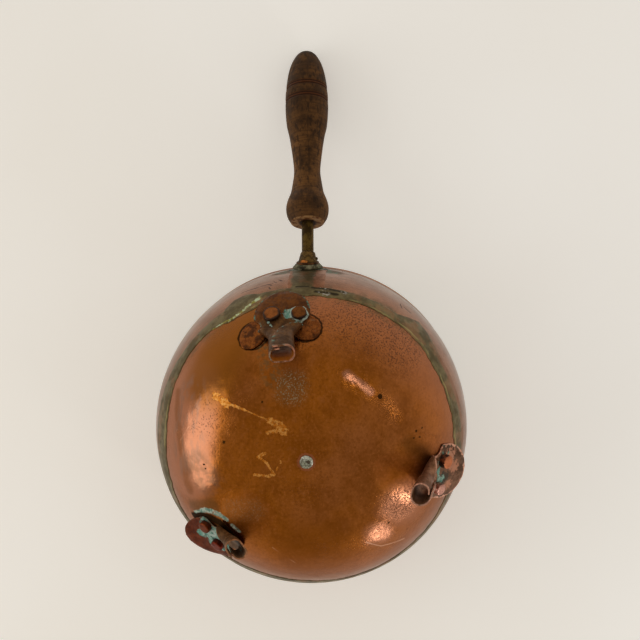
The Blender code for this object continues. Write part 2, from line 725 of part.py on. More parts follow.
def grip_radius(distance):
    """Radius of the turned grip, by a smooth curve through its stations."""
    stations = grip_stations()
    last = len(stations) - 2
    index = max(i for i in range(last + 1) if distance >= stations[i][0] or i == 0)
    before = stations[max(index - 1, 0)]
    start = stations[index]
    end = stations[index + 1]
    after = stations[min(index + 2, last + 1)]
    span = end[0] - start[0]
    share = (distance - start[0]) / span
    slope_in = (end[1] - before[1]) / (end[0] - before[0]) * span
    slope_out = (after[1] - start[1]) / (after[0] - start[0]) * span
    square, cube = share ** 2, share ** 3
    diameter = (start[1] * (2 * cube - 3 * square + 1) + slope_in * (cube - 2 * square + share)
                + end[1] * (3 * square - 2 * cube) + slope_out * (cube - square))
    return max(diameter / 2.0, 0.0)


def grip_outline():
    """The grip's outline from its tip down to its face, with the two turned grooves."""
    distances = [GRIP_LENGTH * share for share in (0.0, 0.012, 0.035, 0.055, 0.075, 0.1, 0.13, 0.16, 0.2, 0.25,
                                                   0.3, 0.36, 0.42, 0.48, 0.54, 0.6, 0.66, 0.84, 0.88,
                                                   0.92, 0.95, 0.975, 0.99)]
    outline = [(grip_radius(distance), distance) for distance in distances]
    for groove in GROOVE_POSITIONS:
        for offset, depth in ((-0.5, 0.0), (-0.2, GROOVE_DEPTH), (0.2, GROOVE_DEPTH), (0.5, 0.0)):
            place = groove + offset * GROOVE_WIDTH
            outline.append((grip_radius(place) - depth, place))
    outline.sort(key=lambda pair: pair[1])
    return [(0.0, GRIP_LENGTH)] + outline[::-1] + [(0.0, 0.0)]


def make_grip(parts, pan, room):
    grip = add_turned("wooden_grip", grip_outline(), parts, pan, 26)
    grip.matrix_local = handle_frame() @ Matrix.Translation((0.0, 0.0, GRIP_START))
    combine(grip, room, "DIFFERENCE")
    return settle(grip, WOOD)


def handle_reach():
    """How far the grip reaches from the pan's axis."""
    bend = handle_frame().translation.x
    return max(bend + (GRIP_START + distance) * math.cos(HANDLE_RAKE) + radius * math.sin(HANDLE_RAKE)
               for radius, distance in grip_outline())


def build():
    clear_scene()
    parts = make_collection("saucepan")
    cutters = make_collection("cutters")
    pan = add_object("pan_axis", None, parts, None)
    pan.location = ((BELLY_RADIUS - handle_reach()) / 2.0, 0.0, FOOT_CLEARANCE)

    bowl = make_base_bowl(parts, pan)
    make_base_seam(parts, pan)
    strip = make_side_wall(parts, cutters, pan)
    make_plug(parts, cutters, pan, bowl)

    for foot in FEET:
        sheet = make_foot(foot, parts, cutters, pan)
        drilled = [bowl, sheet]
        patch = None
        if foot["name"] == PATCHED_FOOT:
            patch = make_patch(foot, parts, cutters, pan)
            drilled.append(patch)
        make_foot_rivets(foot, drilled, parts, cutters, pan)
        settle(sheet, OLD_COPPER)
        if patch:
            settle(patch, OLD_COPPER)
    settle(bowl, COPPER)

    make_tang(parts, cutters, pan)
    room = make_rod_cutters(cutters, pan)
    combine(strip, room, "DIFFERENCE")
    settle(strip, BRASS)
    make_handle_seat(parts, cutters, pan, room)
    make_inner_washer(parts, cutters, pan, room)
    make_grip(parts, pan, room)


build()
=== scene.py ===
"""Looks of the copper saucepan, in the part's own frame: metres, +Z up, the handle along +X.

The finer pieces follow the measures of the solids that they replace. Azimuths are counted from the
handle towards +Y and heights from the underside of the dome, both on the pan's own axis.
"""

import math

import bmesh
import bpy
import numpy as np
from mathutils import Matrix, Vector, noise


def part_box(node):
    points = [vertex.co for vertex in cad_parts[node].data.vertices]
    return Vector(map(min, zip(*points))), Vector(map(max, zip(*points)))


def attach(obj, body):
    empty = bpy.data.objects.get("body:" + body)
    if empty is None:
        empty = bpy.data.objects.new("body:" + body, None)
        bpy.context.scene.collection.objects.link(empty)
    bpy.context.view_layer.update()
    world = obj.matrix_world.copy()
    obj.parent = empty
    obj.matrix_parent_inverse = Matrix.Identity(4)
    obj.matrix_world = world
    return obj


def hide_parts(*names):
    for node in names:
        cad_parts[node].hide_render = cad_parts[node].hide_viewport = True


MM = 0.001
TURN = 2.0 * math.pi
HERE = Matrix.Identity(4)
FIT = 0.3 * MM
WELD = 0.001 * MM

# Sheet copper body
BELLY_RADIUS = 100.0 * MM
BELLY_HEIGHT = 90.0 * MM
ROUNDNESS = 2.45
RIM_HEIGHT = 122.0 * MM
RIM_DRAW_IN = 3.0 * MM
LIP_HEIGHT = 3.5 * MM
LIP_FLARE = 1.2 * MM
SHEET = 1.5 * MM
SEAM_LOW = 45.0 * MM
SEAM_HIGH = 52.0 * MM
SIDE_SEAM_HALF = 10.0 * MM

# Feet
FOOT_CLEARANCE = 15.0 * MM
FOOT_SHEET = 1.2 * MM
TAB_WIDTH = 34.0 * MM
TAB_DROP = 6.0 * MM
ROLL_FLAT_AT_RIVETS = 32.0 * MM
ROLL_LENGTH = 27.0 * MM
LEG_TRIM = 6.0 * MM
PATCH_SHEET = 1.0 * MM
PATCH_LOBES = ((-19.8 * MM, -9.5 * MM), (12.2 * MM, -7.5 * MM))

# Handle
HANDLE_HEIGHT = 100.0 * MM
HANDLE_RAKE = math.radians(30.0)
ROD_RADIUS = 3.85 * MM
SPIGOT_REACH = 2.0 * MM
GRIP_START = 29.8 * MM
GRIP_LENGTH = 127.6 * MM
GRIP_STATIONS = (
    (0.0, 21.6), (4.725, 26.74), (10.5, 28.3), (15.75, 26.32), (21.0, 22.36), (27.3, 19.94), (37.0, 17.8),
    (49.95, 20.11), (62.9, 23.94), (71.34, 27.45), (87.0, 29.2), (99.53, 28.03), (111.01, 24.53),
    (119.94, 18.4), (125.69, 10.22), (127.6, 0.0),
)
GROOVES = (88.4 * MM, 97.6 * MM)
CUT_BESIDE_GROOVE = 0.95 * MM
# The last of the grip is set back by a little, to stay inside the solid
TIP_START = 120.0 * MM
TIP_TRIM = 0.12 * MM

# The front, right and left foot. The rivets: row is the height of their middle, head_a and head_b are
# the diameters of their heads. The tab: its shift from the rivets, rise above them, sideways shift and
# rounding power of its top (crown), how far its top is bent out and how straight it stands off the bowl.
# The leg: width of its flat back, radius of its round sides (curl), its waist below the rivets, how far
# one flap laps the other, how far the roll is closed at the rivets (root) and where it bends away.
# Lengths are in millimetres and angles in degrees.
FOOT_NAMES = ("front_foot", "right_foot", "left_foot")
FOOT_LENGTHS = dict(
    row=(29.3, 27.3, 24.7), spacing=(16.0, 16.8, 14.4), head_height=(1.6, 3.6, 3.0), head_a=(10.5, 8.6, 8.0),
    head_b=(9.0, 7.4, 7.8), shift=(-2.5, -1.5, -4.5), rise=(19.5, 21.0, 24.0), crown_shift=(0.0, 0.0, 3.0),
    top_bend=(0.3, 2.0, 2.5), flat=(6.4, 2.4, 4.0), curl=(4.8, 6.0, 5.2), tip_radius=(68.9, 68.0, 63.6),
    waist=(5.0, 6.5, 8.0), lap=(4.6, 2.4, 2.4), bend=(6.0, 14.0, 16.0),
)
FOOT_FORMS = dict(
    azimuth=(-7.6, 101.9, -130.8), lean=(8.0, 4.0, 18.0), tip_azimuth=(-10.0, 103.8, -140.6),
    crown=(2.3, 2.3, 1.5), straight=(0.1, 1.0, 1.0), root=(0.98, 0.60, 0.45),
)
FEET = [
    dict(name=name, **{key: values[i] * MM for key, values in FOOT_LENGTHS.items()},
         **{key: values[i] for key, values in FOOT_FORMS.items()})
    for i, name in enumerate(FOOT_NAMES)
]

# The brazed ring's two edges as the braze ran, azimuth and height
SEAM_EDGE_LOW = (
    (-180, 37.0), (-168, 36.0), (-154, 37.0), (-142, 40.5), (-116, 41.5), (-105, 38.5), (-95, 37.0),
    (-84, 36.5), (-74, 37.5), (-66, 40.0), (-58, 42.5), (-51, 43.5), (-43, 44.3), (-36, 43.0),
    (-29, 39.5), (-20, 41.4), (-8, 43.5), (1, 43.8), (9, 43.0), (18, 44.3), (27, 44.3), (35, 43.4),
    (43, 44.0), (49, 43.2), (59, 40.6), (68, 39.8), (79, 39.0), (89, 38.5), (105, 41.0), (123, 44.0),
    (150, 42.0), (165, 40.0),
)
SEAM_EDGE_HIGH = (
    (-180, 53.0), (-150, 53.5), (-120, 53.0), (-97, 52.8), (-87, 52.8), (-69, 53.0), (-54, 52.8), (-47, 52.8),
    (-40, 52.8), (-32, 54.0), (-27, 61.0), (-22, 60.0), (-17, 54.5), (-10, 53.5), (0, 53.0), (9, 53.0),
    (26, 53.0), (36, 53.6), (40, 58.0), (45, 65.0), (50, 62.0), (56, 56.0), (61, 54.5),
    (82, 54.0), (91, 53.2), (120, 53.0), (150, 53.0),
)

# Shallow dents of the bowl: azimuth, height, radius and depth
BOWL_DENTS = (
    (92.0, 10.0, 13.0, 0.55), (112.0, 10.5, 10.0, -0.25), (126.0, 15.0, 9.0, 0.30), (60.0, 9.0, 11.0, 0.30),
    (48.0, 12.0, 8.0, -0.12), (30.0, 8.0, 9.0, 0.22), (137.0, 15.0, 8.0, 0.25), (-118.0, 13.0, 14.0, 0.40),
    (-88.0, 10.0, 16.0, 0.30), (-66.0, 17.0, 12.0, -0.12), (-10.0, 9.0, 14.0, 0.30), (148.0, 22.0, 7.0, 0.30),
)

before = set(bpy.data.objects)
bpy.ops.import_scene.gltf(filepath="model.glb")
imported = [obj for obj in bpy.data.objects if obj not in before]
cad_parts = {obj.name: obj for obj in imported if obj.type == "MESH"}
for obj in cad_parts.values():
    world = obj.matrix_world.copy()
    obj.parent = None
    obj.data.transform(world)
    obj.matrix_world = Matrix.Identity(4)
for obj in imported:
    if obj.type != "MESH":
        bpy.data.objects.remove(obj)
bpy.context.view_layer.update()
seam_low, seam_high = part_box("base_seam_braze")
AXIS = Vector(((seam_low.x + seam_high.x) / 2.0, (seam_low.y + seam_high.y) / 2.0, FOOT_CLEARANCE))


# Measures of the body

def smooth(value):
    value = np.clip(value, 0.0, 1.0)
    return value * value * (3.0 - 2.0 * value)


def body_radius(height):
    rise = 1.0 - np.clip(np.asarray(height, float) / BELLY_HEIGHT, 0.0, 1.0)
    bowl = BELLY_RADIUS * (1.0 - rise ** ROUNDNESS) ** (1.0 / ROUNDNESS)
    share = np.clip((np.asarray(height, float) - BELLY_HEIGHT) / (RIM_HEIGHT - BELLY_HEIGHT), 0.0, None)
    lip = LIP_FLARE * smooth((np.asarray(height, float) - RIM_HEIGHT + LIP_HEIGHT) / LIP_HEIGHT)
    return bowl - RIM_DRAW_IN * share ** 2 + lip


def body_slope(height):
    """Radial and vertical part of the outward normal."""
    step = 0.01 * MM
    low = np.maximum(np.asarray(height, float) - step, 0.0)
    run = body_radius(height + step) - body_radius(low)
    rise = height + step - low
    length = np.hypot(run, rise)
    return rise / length, -run / length


def meridian():
    turns = np.linspace(0.0, math.pi / 2.0, 3000)
    bowl = BELLY_HEIGHT * (1.0 - np.maximum(np.cos(turns), 0.0) ** (2.0 / ROUNDNESS))
    heights = np.concatenate([bowl, np.linspace(BELLY_HEIGHT, RIM_HEIGHT, 600)[1:]])
    steps = np.hypot(np.diff(body_radius(heights)), np.diff(heights))
    return heights, np.concatenate([[0.0], np.cumsum(steps)])


MERIDIAN_HEIGHTS, MERIDIAN_TRAVEL = meridian()


def height_at(travel):
    return np.interp(travel, MERIDIAN_TRAVEL, MERIDIAN_HEIGHTS)


def travel_to(height):
    return np.interp(height, MERIDIAN_HEIGHTS, MERIDIAN_TRAVEL)


def on_body(azimuth, height, proud=0.0):
    """Points over the outer surface by a distance along its normal, on the pan's own axis."""
    azimuth, height, proud = np.broadcast_arrays(azimuth, height, proud)
    radial, vertical = body_slope(height)
    radius = body_radius(height) + proud * radial
    return np.stack([radius * np.cos(azimuth), radius * np.sin(azimuth), height + proud * vertical], -1)


def body_point(azimuth, height, proud=0.0):
    """One point over the outer surface and the outward normal there."""
    radial, vertical = body_slope(height)
    normal = Vector((radial * math.cos(azimuth), radial * math.sin(azimuth), vertical))
    return Vector(on_body(azimuth, height, proud)), normal


def spot(azimuth, height):
    """A place on the body, in the part's frame, from degrees and millimetres."""
    return Vector(on_body(math.radians(azimuth), height * MM)) + AXIS


def under(x, y):
    """A place on the bowl's underside, in the part's frame, from millimetres on the pan's own axes."""
    distance = math.hypot(x, y) * MM
    height = float(np.interp(distance, body_radius(MERIDIAN_HEIGHTS[:3000]), MERIDIAN_HEIGHTS[:3000]))
    return Vector((x * MM, y * MM, height)) + AXIS


def rough(points, size, seed=0.0):
    """Smooth noise with bumps of a size in metres, about -1 to 1."""
    flat = points.reshape(-1, 3) / size + seed
    return np.array([noise.noise(Vector(point)) for point in flat]).reshape(points.shape[:-1])


def around_table(table, azimuths):
    """Values of a table of (azimuth, value), smoothly read off all round."""
    degrees = (np.degrees(azimuths) + 180.0) % 360.0 - 180.0
    return np.interp(degrees, [row[0] for row in table], [row[1] for row in table], period=360.0) * MM


# Meshes

def add_piece(name, mesh, node, materials=(), matrix=None):
    """A piece of the pan, in place of the solid that it is named for."""
    for material in materials:
        mesh.materials.append(material)
    if matrix is not None:
        local = np.zeros(len(mesh.vertices) * 3, np.float32)
        mesh.vertices.foreach_get("co", local)
        mesh.attributes.new("local", "FLOAT_VECTOR", "POINT").data.foreach_set("vector", local)
        mesh.transform(Matrix.Translation(AXIS) @ matrix)
    piece = bpy.data.objects.new(name, mesh)
    bpy.context.scene.collection.objects.link(piece)
    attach(piece, "root")
    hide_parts(node)


def smooth_faces(mesh, angle):
    mesh.shade_smooth()
    mesh.set_sharp_from_angle(angle=math.radians(angle))
    return mesh


def finish_mesh(mesh, angle=38.0):
    shape = bmesh.new()
    shape.from_mesh(mesh)
    bmesh.ops.remove_doubles(shape, verts=shape.verts, dist=WELD)
    bmesh.ops.recalc_face_normals(shape, faces=shape.faces)
    shape.to_mesh(mesh)
    shape.free()
    return smooth_faces(mesh, angle)


def grid_mesh(name, points, wrap_columns=True, wrap_rows=False, inner_from=None, caps=False, offset=AXIS):
    """A mesh over rows of points; faces from a row on can take the second material."""
    rows, columns = points.shape[:2]
    vertices = points.reshape(-1, 3) + np.array(offset)
    faces, kinds = [], []
    for row in range(rows if wrap_rows else rows - 1):
        below = (row + 1) % rows
        for column in range(columns if wrap_columns else columns - 1):
            beside = (column + 1) % columns
            faces.append((row * columns + column, below * columns + column,
                          below * columns + beside, row * columns + beside))
            kinds.append(1 if inner_from is not None and inner_from[0] <= row < inner_from[1] else 0)
    if caps:
        faces.append([row * columns for row in range(rows)])
        faces.append([row * columns + columns - 1 for row in range(rows)])
        kinds += [0, 0]
    mesh = bpy.data.meshes.new(name)
    mesh.from_pydata(vertices.tolist(), [], faces)
    mesh.polygons.foreach_set("material_index", kinds)
    return mesh


def rounded(outline, radius, steps=4):
    """The outline in millimetres with each corner between its ends rounded off, in metres."""
    points = [Vector((x * MM, y * MM)) for x, y in outline]
    made = [points[0]]
    for before, corner, after in zip(points, points[1:], points[2:]):
        first, second = before - corner, after - corner
        cut = min(radius * MM, first.length * 0.48, second.length * 0.48)
        start, end = corner + first.normalized() * cut, corner + second.normalized() * cut
        for step in range(steps + 1):
            share = step / steps
            made.append(start * (1 - share) ** 2 + corner * 2 * share * (1 - share) + end * share ** 2)
    made.append(points[-1])
    return [(point.x, point.y) for point in made]


def turned_mesh(name, outline, steps, wobble, wobble_size, seed):
    """A turned piece about the local Z axis, out of true by a wobble in millimetres."""
    outline = np.array(outline, float)
    turns = np.linspace(0.0, TURN, steps, endpoint=False)
    radius = np.repeat(outline[:, :1], steps, 1)
    height = np.repeat(outline[:, 1:], steps, 1)
    points = np.stack([radius * np.cos(turns), radius * np.sin(turns), height], -1)
    lift = rough(points, wobble_size * MM, seed) * wobble * MM
    points[..., 0] += lift * np.cos(turns) * (radius > 0)
    points[..., 1] += lift * np.sin(turns) * (radius > 0)
    points[..., 2] += rough(points, wobble_size * MM * 1.3, seed + 7.7) * wobble * MM * 0.6 * (radius > 0)
    return finish_mesh(grid_mesh(name, points, offset=(0.0, 0.0, 0.0)))


def join_meshes(name, parts):
    """One mesh of several, each with the matrix that places it."""
    shape = bmesh.new()
    for mesh, matrix in parts:
        copy = mesh.copy()
        copy.transform(matrix)
        shape.from_mesh(copy)
        bpy.data.meshes.remove(copy)
    mesh = bpy.data.meshes.new(name)
    shape.to_mesh(mesh)
    shape.free()
    return smooth_faces(mesh, 38.0)


# Materials

def tone(code, gain=1.0):
    """Linear colour of a hexadecimal sRGB code."""
    values = [int(code[i:i + 2], 16) / 255.0 for i in (0, 2, 4)]
    linear = [v / 12.92 if v <= 0.04045 else ((v + 0.055) / 1.055) ** 2.4 for v in values]
    return scaled(linear, gain)


def scaled(colour, gain):
    return tuple(min(value * gain, 1.0) for value in colour)


class Coat:
    """A material, the colour painted on it so far, and short calls that add nodes.

    Sizes of spots, strokes, warps and bumps are in millimetres, places in metres in the part's frame.
    """

    def __init__(self, name, local=False):
        self.material = bpy.data.materials.new(name)
        self.material.use_nodes = True
        self.tree = self.material.node_tree
        self.shader = self.tree.nodes["Principled BSDF"]
        if local:
            self.place = self.add("ShaderNodeAttribute", attribute_name="local").outputs["Vector"]
        else:
            self.place = self.add("ShaderNodeTexCoord").outputs["Object"]
        self.ragged = self.place
        self.colour = None

    def add(self, kind, **settings):
        node = self.tree.nodes.new(kind)
        for key, value in settings.items():
            setattr(node, key, value)
        return node

    def feed(self, socket, value):
        if isinstance(value, bpy.types.NodeSocket):
            self.tree.links.new(value, socket)
        elif value is not None:
            socket.default_value = value

    def math(self, operation, first, second=None, third=None, clamp=False):
        node = self.add("ShaderNodeMath", operation=operation, use_clamp=clamp)
        for socket, value in zip(node.inputs, (first, second, third)):
            self.feed(socket, value)
        return node.outputs[0]

    def times(self, first, second):
        return self.math("MULTIPLY", first, second)

    def sum(self, *terms):
        """The sum of values, each times its weight."""
        total = 0.0
        for value, weight in terms:
            total = self.math("MULTIPLY_ADD", value, weight, total)
        return total

    def either(self, *masks):
        total = masks[0]
        for mask in masks[1:]:
            total = self.math("MAXIMUM", total, mask)
        return total

    def vector(self, operation, first, second=None, scale=None):
        node = self.add("ShaderNodeVectorMath", operation=operation)
        self.feed(node.inputs[0], first)
        self.feed(node.inputs[1], second)
        if scale is not None:
            self.feed(node.inputs["Scale"], scale)
        return node.outputs["Value" if operation in ("DISTANCE", "DOT_PRODUCT") else "Vector"]

    def axes(self, place=None):
        node = self.add("ShaderNodeSeparateXYZ")
        self.feed(node.inputs[0], place or self.place)
        return node.outputs

    def off_axis(self):
        """The distance from the local Z axis."""
        axes = self.axes()
        return self.math("SQRT", self.math("ADD", *[self.math("POWER", axes[name], 2.0) for name in "XY"]))

    def attribute(self, name):
        return self.add("ShaderNodeAttribute", attribute_name=name).outputs["Fac"]

    def noise(self, scale, detail, roughness, stretch=None, colour=False):
        node = self.add("ShaderNodeTexNoise")
        place = self.vector("MULTIPLY", self.place, stretch) if stretch else self.place
        self.feed(node.inputs["Vector"], place)
        for key, value in (("Scale", scale), ("Detail", detail), ("Roughness", roughness)):
            node.inputs[key].default_value = value
        return node.outputs["Color" if colour else "Fac"]

    def cells(self, scale):
        node = self.add("ShaderNodeTexVoronoi", feature="F1")
        self.feed(node.inputs["Vector"], self.place)
        node.inputs["Scale"].default_value = scale
        return node.outputs["Distance"]

    def span(self, value, low, high, to_low=0.0, to_high=1.0):
        """The value between two limits, smoothly carried over to 0 and 1 or to other ends."""
        node = self.add("ShaderNodeMapRange", interpolation_type="SMOOTHSTEP")
        for key, given in zip(("Value", "From Min", "From Max", "To Min", "To Max"),
                              (value, low, high, to_low, to_high)):
            self.feed(node.inputs[key], given)
        return node.outputs["Result"]

    def patchy(self, scale, detail, roughness, low, high, to_low=0.0, to_high=1.0):
        """Noise cut off at two limits, as patches."""
        return self.span(self.noise(scale, detail, roughness), low, high, to_low, to_high)

    def mix(self, share, first, second):
        node = self.add("ShaderNodeMix", data_type="RGBA")
        self.feed(node.inputs[0], share)
        for socket, value in ((node.inputs[6], first), (node.inputs[7], second)):
            self.feed(socket, (*value, 1.0) if isinstance(value, tuple) else value)
        return node.outputs[2]

    def blend(self, share, first, second):
        node = self.add("ShaderNodeMix", data_type="FLOAT")
        self.feed(node.inputs[0], share)
        self.feed(node.inputs[2], first)
        self.feed(node.inputs[3], second)
        return node.outputs[0]

    def paint(self, mask, colour, share=1.0):
        """Lay a colour over the one so far where the mask is, by a share."""
        self.colour = self.mix(mask if share == 1.0 else self.times(mask, share), self.colour, colour)

    def warped(self, size, reach):
        """The place shifted about by noise, for ragged outlines."""
        shift = self.vector("SUBTRACT", self.noise(1.0 / (size * MM), 3, 0.6, colour=True), (0.5, 0.5, 0.5))
        return self.vector("ADD", self.place, self.vector("SCALE", shift, scale=2.0 * reach * MM))

    def off_line(self, start, end, place):
        """The distance from a line between two points."""
        start, end = Vector(start), Vector(end)
        run = end - start
        relative = self.vector("SUBTRACT", place, tuple(start))
        along = self.vector("DOT_PRODUCT", relative, tuple(run / run.length_squared))
        along = self.math("MAXIMUM", self.math("MINIMUM", along, 1.0), 0.0)
        return self.vector("DISTANCE", relative, self.vector("SCALE", tuple(run), scale=along))

    def near(self, point, radius, soft, place=None):
        """1 within a radius of a point, falling to 0 over a soft edge."""
        away = self.vector("DISTANCE", place or self.ragged, tuple(point))
        return self.span(away, radius * MM + soft * MM, radius * MM)

    def ring(self, point, radius, half_width, place=None):
        away = self.vector("DISTANCE", place or self.ragged, tuple(point))
        away = self.math("ABSOLUTE", self.math("SUBTRACT", away, radius * MM))
        return self.span(away, half_width * MM, half_width * MM * 0.3)

    def stroke(self, start, end, radius, soft, place=None):
        """1 within a radius of a line, falling to 0 over a soft edge."""
        away = self.off_line(start, end, place or self.ragged)
        return self.span(away, radius * MM + soft * MM, radius * MM)

    def splash(self, start, end, radius, raggedness, scale=650.0):
        """Ragged blots along a line, full in its middle and broken up towards a radius."""
        core = self.math("MULTIPLY_ADD", self.off_line(start, end, self.place), -1.0 / (radius * MM), 1.0)
        rough_edge = self.math("MULTIPLY_ADD", self.noise(scale, 4, 0.65), raggedness, -0.5 * raggedness)
        return self.span(self.math("ADD", core, rough_edge), 0.28, 0.46)

    def smudges(self, locate, *rows, place=None):
        """Spots (place, radius, soft edge) and strokes (two places, radius, soft edge), placed by locate."""
        masks = []
        for *ends, radius, soft in rows:
            if len(ends) == 2:
                masks.append(self.near(locate(*ends), radius, soft, place))
            else:
                masks.append(self.stroke(locate(*ends[:2]), locate(*ends[2:]), radius, soft, place))
        return self.either(*masks)

    def splashes(self, locate, rows, scale=650.0):
        """Ragged blots, each from two places, a radius and a raggedness."""
        return self.either(*[self.splash(locate(a, b), locate(c, d), radius, raggedness, scale)
                             for a, b, c, d, radius, raggedness in rows])

    def bump(self, height, distance, strength, below=None):
        node = self.add("ShaderNodeBump")
        node.inputs["Strength"].default_value = strength
        node.inputs["Distance"].default_value = distance * MM
        self.feed(node.inputs["Height"], height)
        self.feed(node.inputs["Normal"], below)
        self.feed(self.shader.inputs["Normal"], node.outputs[0])
        return node.outputs[0]

    def dress(self, roughness, metallic):
        for key, value in (("Base Color", self.colour), ("Roughness", roughness), ("Metallic", metallic)):
            self.feed(self.shader.inputs[key], value)


VERDIGRIS = tone("6FA793")
VERDIGRIS_PALE = tone("B9D2C2")
VERDIGRIS_DEEP = tone("2F7466")
# dark brown for soot, and for the painted shade round the patch's lobes
SOOT_AND_SHADE = tone("241509")

# Bright scrapes on the bowl's underside: both ends, radius and raggedness
BOWL_SCRAPES = (
    (37.4, -53.5, 33.2, -46.0, 3.4, 2.3), (33.6, -45.0, 30.5, -35.5, 1.3, 1.6),
    (30.5, -35.5, 25.0, -21.5, 0.8, 1.3), (24.5, -20.5, 22.0, -14.0, 3.0, 1.7),
    (21.5, -14.5, 18.5, -13.0, 4.0, 1.7), (19.0, -16.0, 17.8, -22.5, 1.6, 2.0),
    (5.4, -24.0, 3.2, -28.5, 1.3, 1.7), (3.0, -28.0, -0.5, -23.5, 1.2, 1.7),
    (-0.5, -23.5, -7.0, -19.5, 1.2, 1.8), (-7.2, -19.5, -8.6, -23.0, 1.6, 1.7),
    (-8.4, -23.5, -7.8, -31.0, 1.3, 1.7), (0.8, -15.2, -0.4, -15.2, 0.8, 1.0),
    (-4.6, -17.6, -3.2, -17.0, 0.8, 1.4),
)


def copper_layers(coat, brown, red, dark):
    """Old polished copper: broad tones, mottling, fine scratches and bumps."""
    mottle = coat.noise(150, 6, 0.70)
    grain = coat.noise(620, 4, 0.65)
    coat.colour = coat.mix(coat.patchy(13, 4, 0.55, 0.38, 0.62), brown, red)
    coat.paint(coat.patchy(42, 6, 0.66, 0.36, 0.66), dark, 0.60)
    coat.paint(coat.span(mottle, 0.50, 0.68, 0.0, 0.42), dark)
    coat.paint(coat.span(mottle, 0.46, 0.32, 0.0, 0.40), red)
    coat.paint(coat.span(grain, 0.51, 0.68, 0.0, 0.48), dark)
    coat.paint(coat.span(grain, 0.47, 0.32, 0.0, 0.42), scaled(red, 1.3))
    rubbed = coat.noise(1, 5, 0.6, stretch=(60, 700, 500))
    coat.paint(coat.span(rubbed, 0.56, 0.72, 0.0, 0.26), dark)
    smear = coat.patchy(30, 5, 0.6, 0.35, 0.65, 0.11, 0.22)
    roughness = coat.math("ADD", smear, coat.times(coat.math("SUBTRACT", mottle, 0.5), 0.26))
    return roughness, grain, rubbed


def bowl_tones(coat, level):
    """Reddish towards the seam, pinker copper painted under the lamps' highlights, browner towards its
    middle, and pitted.
    """
    coat.paint(coat.span(level, AXIS.z + 9 * MM, AXIS.z + 42 * MM, 0.0, 0.62), (0.42, 0.165, 0.085))
    # painted highlight colour: pinker copper laid where the lamps' highlights fall on the bowl
    pink_under_highlights = coat.smudges(under, (38, -68, -10, -74, 14, 12), (-32, 57, 8, 14), (50, 25, 39, 38.5, 0.8, 3),
                         (-50, 42, 5, 9))
    coat.paint(pink_under_highlights, (0.50, 0.205, 0.112), 0.80)
    coat.paint(coat.smudges(under, (-62, 0, 12, 30)), (0.24, 0.065, 0.004), 0.55)
    coat.paint(coat.smudges(under, (47, -58, 80, -37, 10, 17)), (0.29, 0.096, 0.010), 0.80)
    band = coat.smudges(under, (35.4, -78.4, 8.1, -76.8, 1.5, 3), (8.1, -76.8, -23, -72.3, 1.5, 3))
    coat.paint(band, (0.26, 0.085, 0.018), 0.6)
    veins = coat.span(coat.noise(1, 5, 0.62, stretch=(48, 190, 190)), 0.50, 0.62)
    veins = coat.times(veins, coat.smudges(under, (34, -69, -6, -72, 9, 8)))
    coat.paint(veins, (0.34, 0.165, 0.100), 0.75)
    stain = coat.times(coat.smudges(under, (-6, -66, -14, -60, 5, 10)), coat.patchy(120, 5, 0.65, 0.38, 0.60))
    coat.paint(stain, (0.24, 0.110, 0.055), 0.75)
    pits = coat.patchy(1000, 2, 0.5, 0.51, 0.62)
    dots = coat.times(coat.span(coat.cells(800), 0.36, 0.16), 0.6)
    zone = coat.either(coat.smudges(under, (78, 28, 64, 54, 9, 20)),
                       coat.smudges(spot, (-5, 28, 8, 26), (118, 13, 6, 12)),
                       coat.times(coat.smudges(under, (35, 45, 24, 52, 2, 4)), 0.5))
    pitted = coat.either(coat.times(pits, zone), coat.times(dots, coat.patchy(30, 3, 0.55, 0.50, 0.68)))
    coat.paint(pitted, (0.10, 0.030, 0.008), 0.70)
    return pitted


def bowl_grime_and_shade(coat, level, fine):
    """Grime by the seam, painted shade beside the right and the left foot's legs, and dark rings round the
    patch's lobes that are grime in the joint with painted shade; gives where the gloss is lost.
    """
    grime = coat.span(level, AXIS.z + 38 * MM, AXIS.z + 43 * MM, 0.0, 0.5)
    coat.paint(coat.times(grime, coat.patchy(160, 5, 0.65, 0.38, 0.62)), tone("5C5434"))
    # painted shade: darker copper beside the right and the left foot's legs
    shade = coat.smudges(spot, (100, 24, 7, 9), (-131, 26, 8, 8), (84, 12, 92, 19, 1, 7))
    coat.paint(shade, (0.060, 0.022, 0.004), 0.55)
    dull = coat.either(coat.smudges(spot, (97, 16, 11, 12)),
                       coat.smudges(under, (-8, 50, 7, 9), (-34, -36, 12, 10), (52, -12, 8, 12)))
    # dark rings round the patch's lobes: grime in the joint, with painted shade along the lobes' edges
    lobes = [coat.ring(patch_place(FEET[0], *middle), 9.5, 1.1, fine) for middle in PATCH_LOBES]
    coat.paint(coat.either(*lobes), SOOT_AND_SHADE, 0.9)
    return coat.either(dull, coat.times(shade, 0.6))


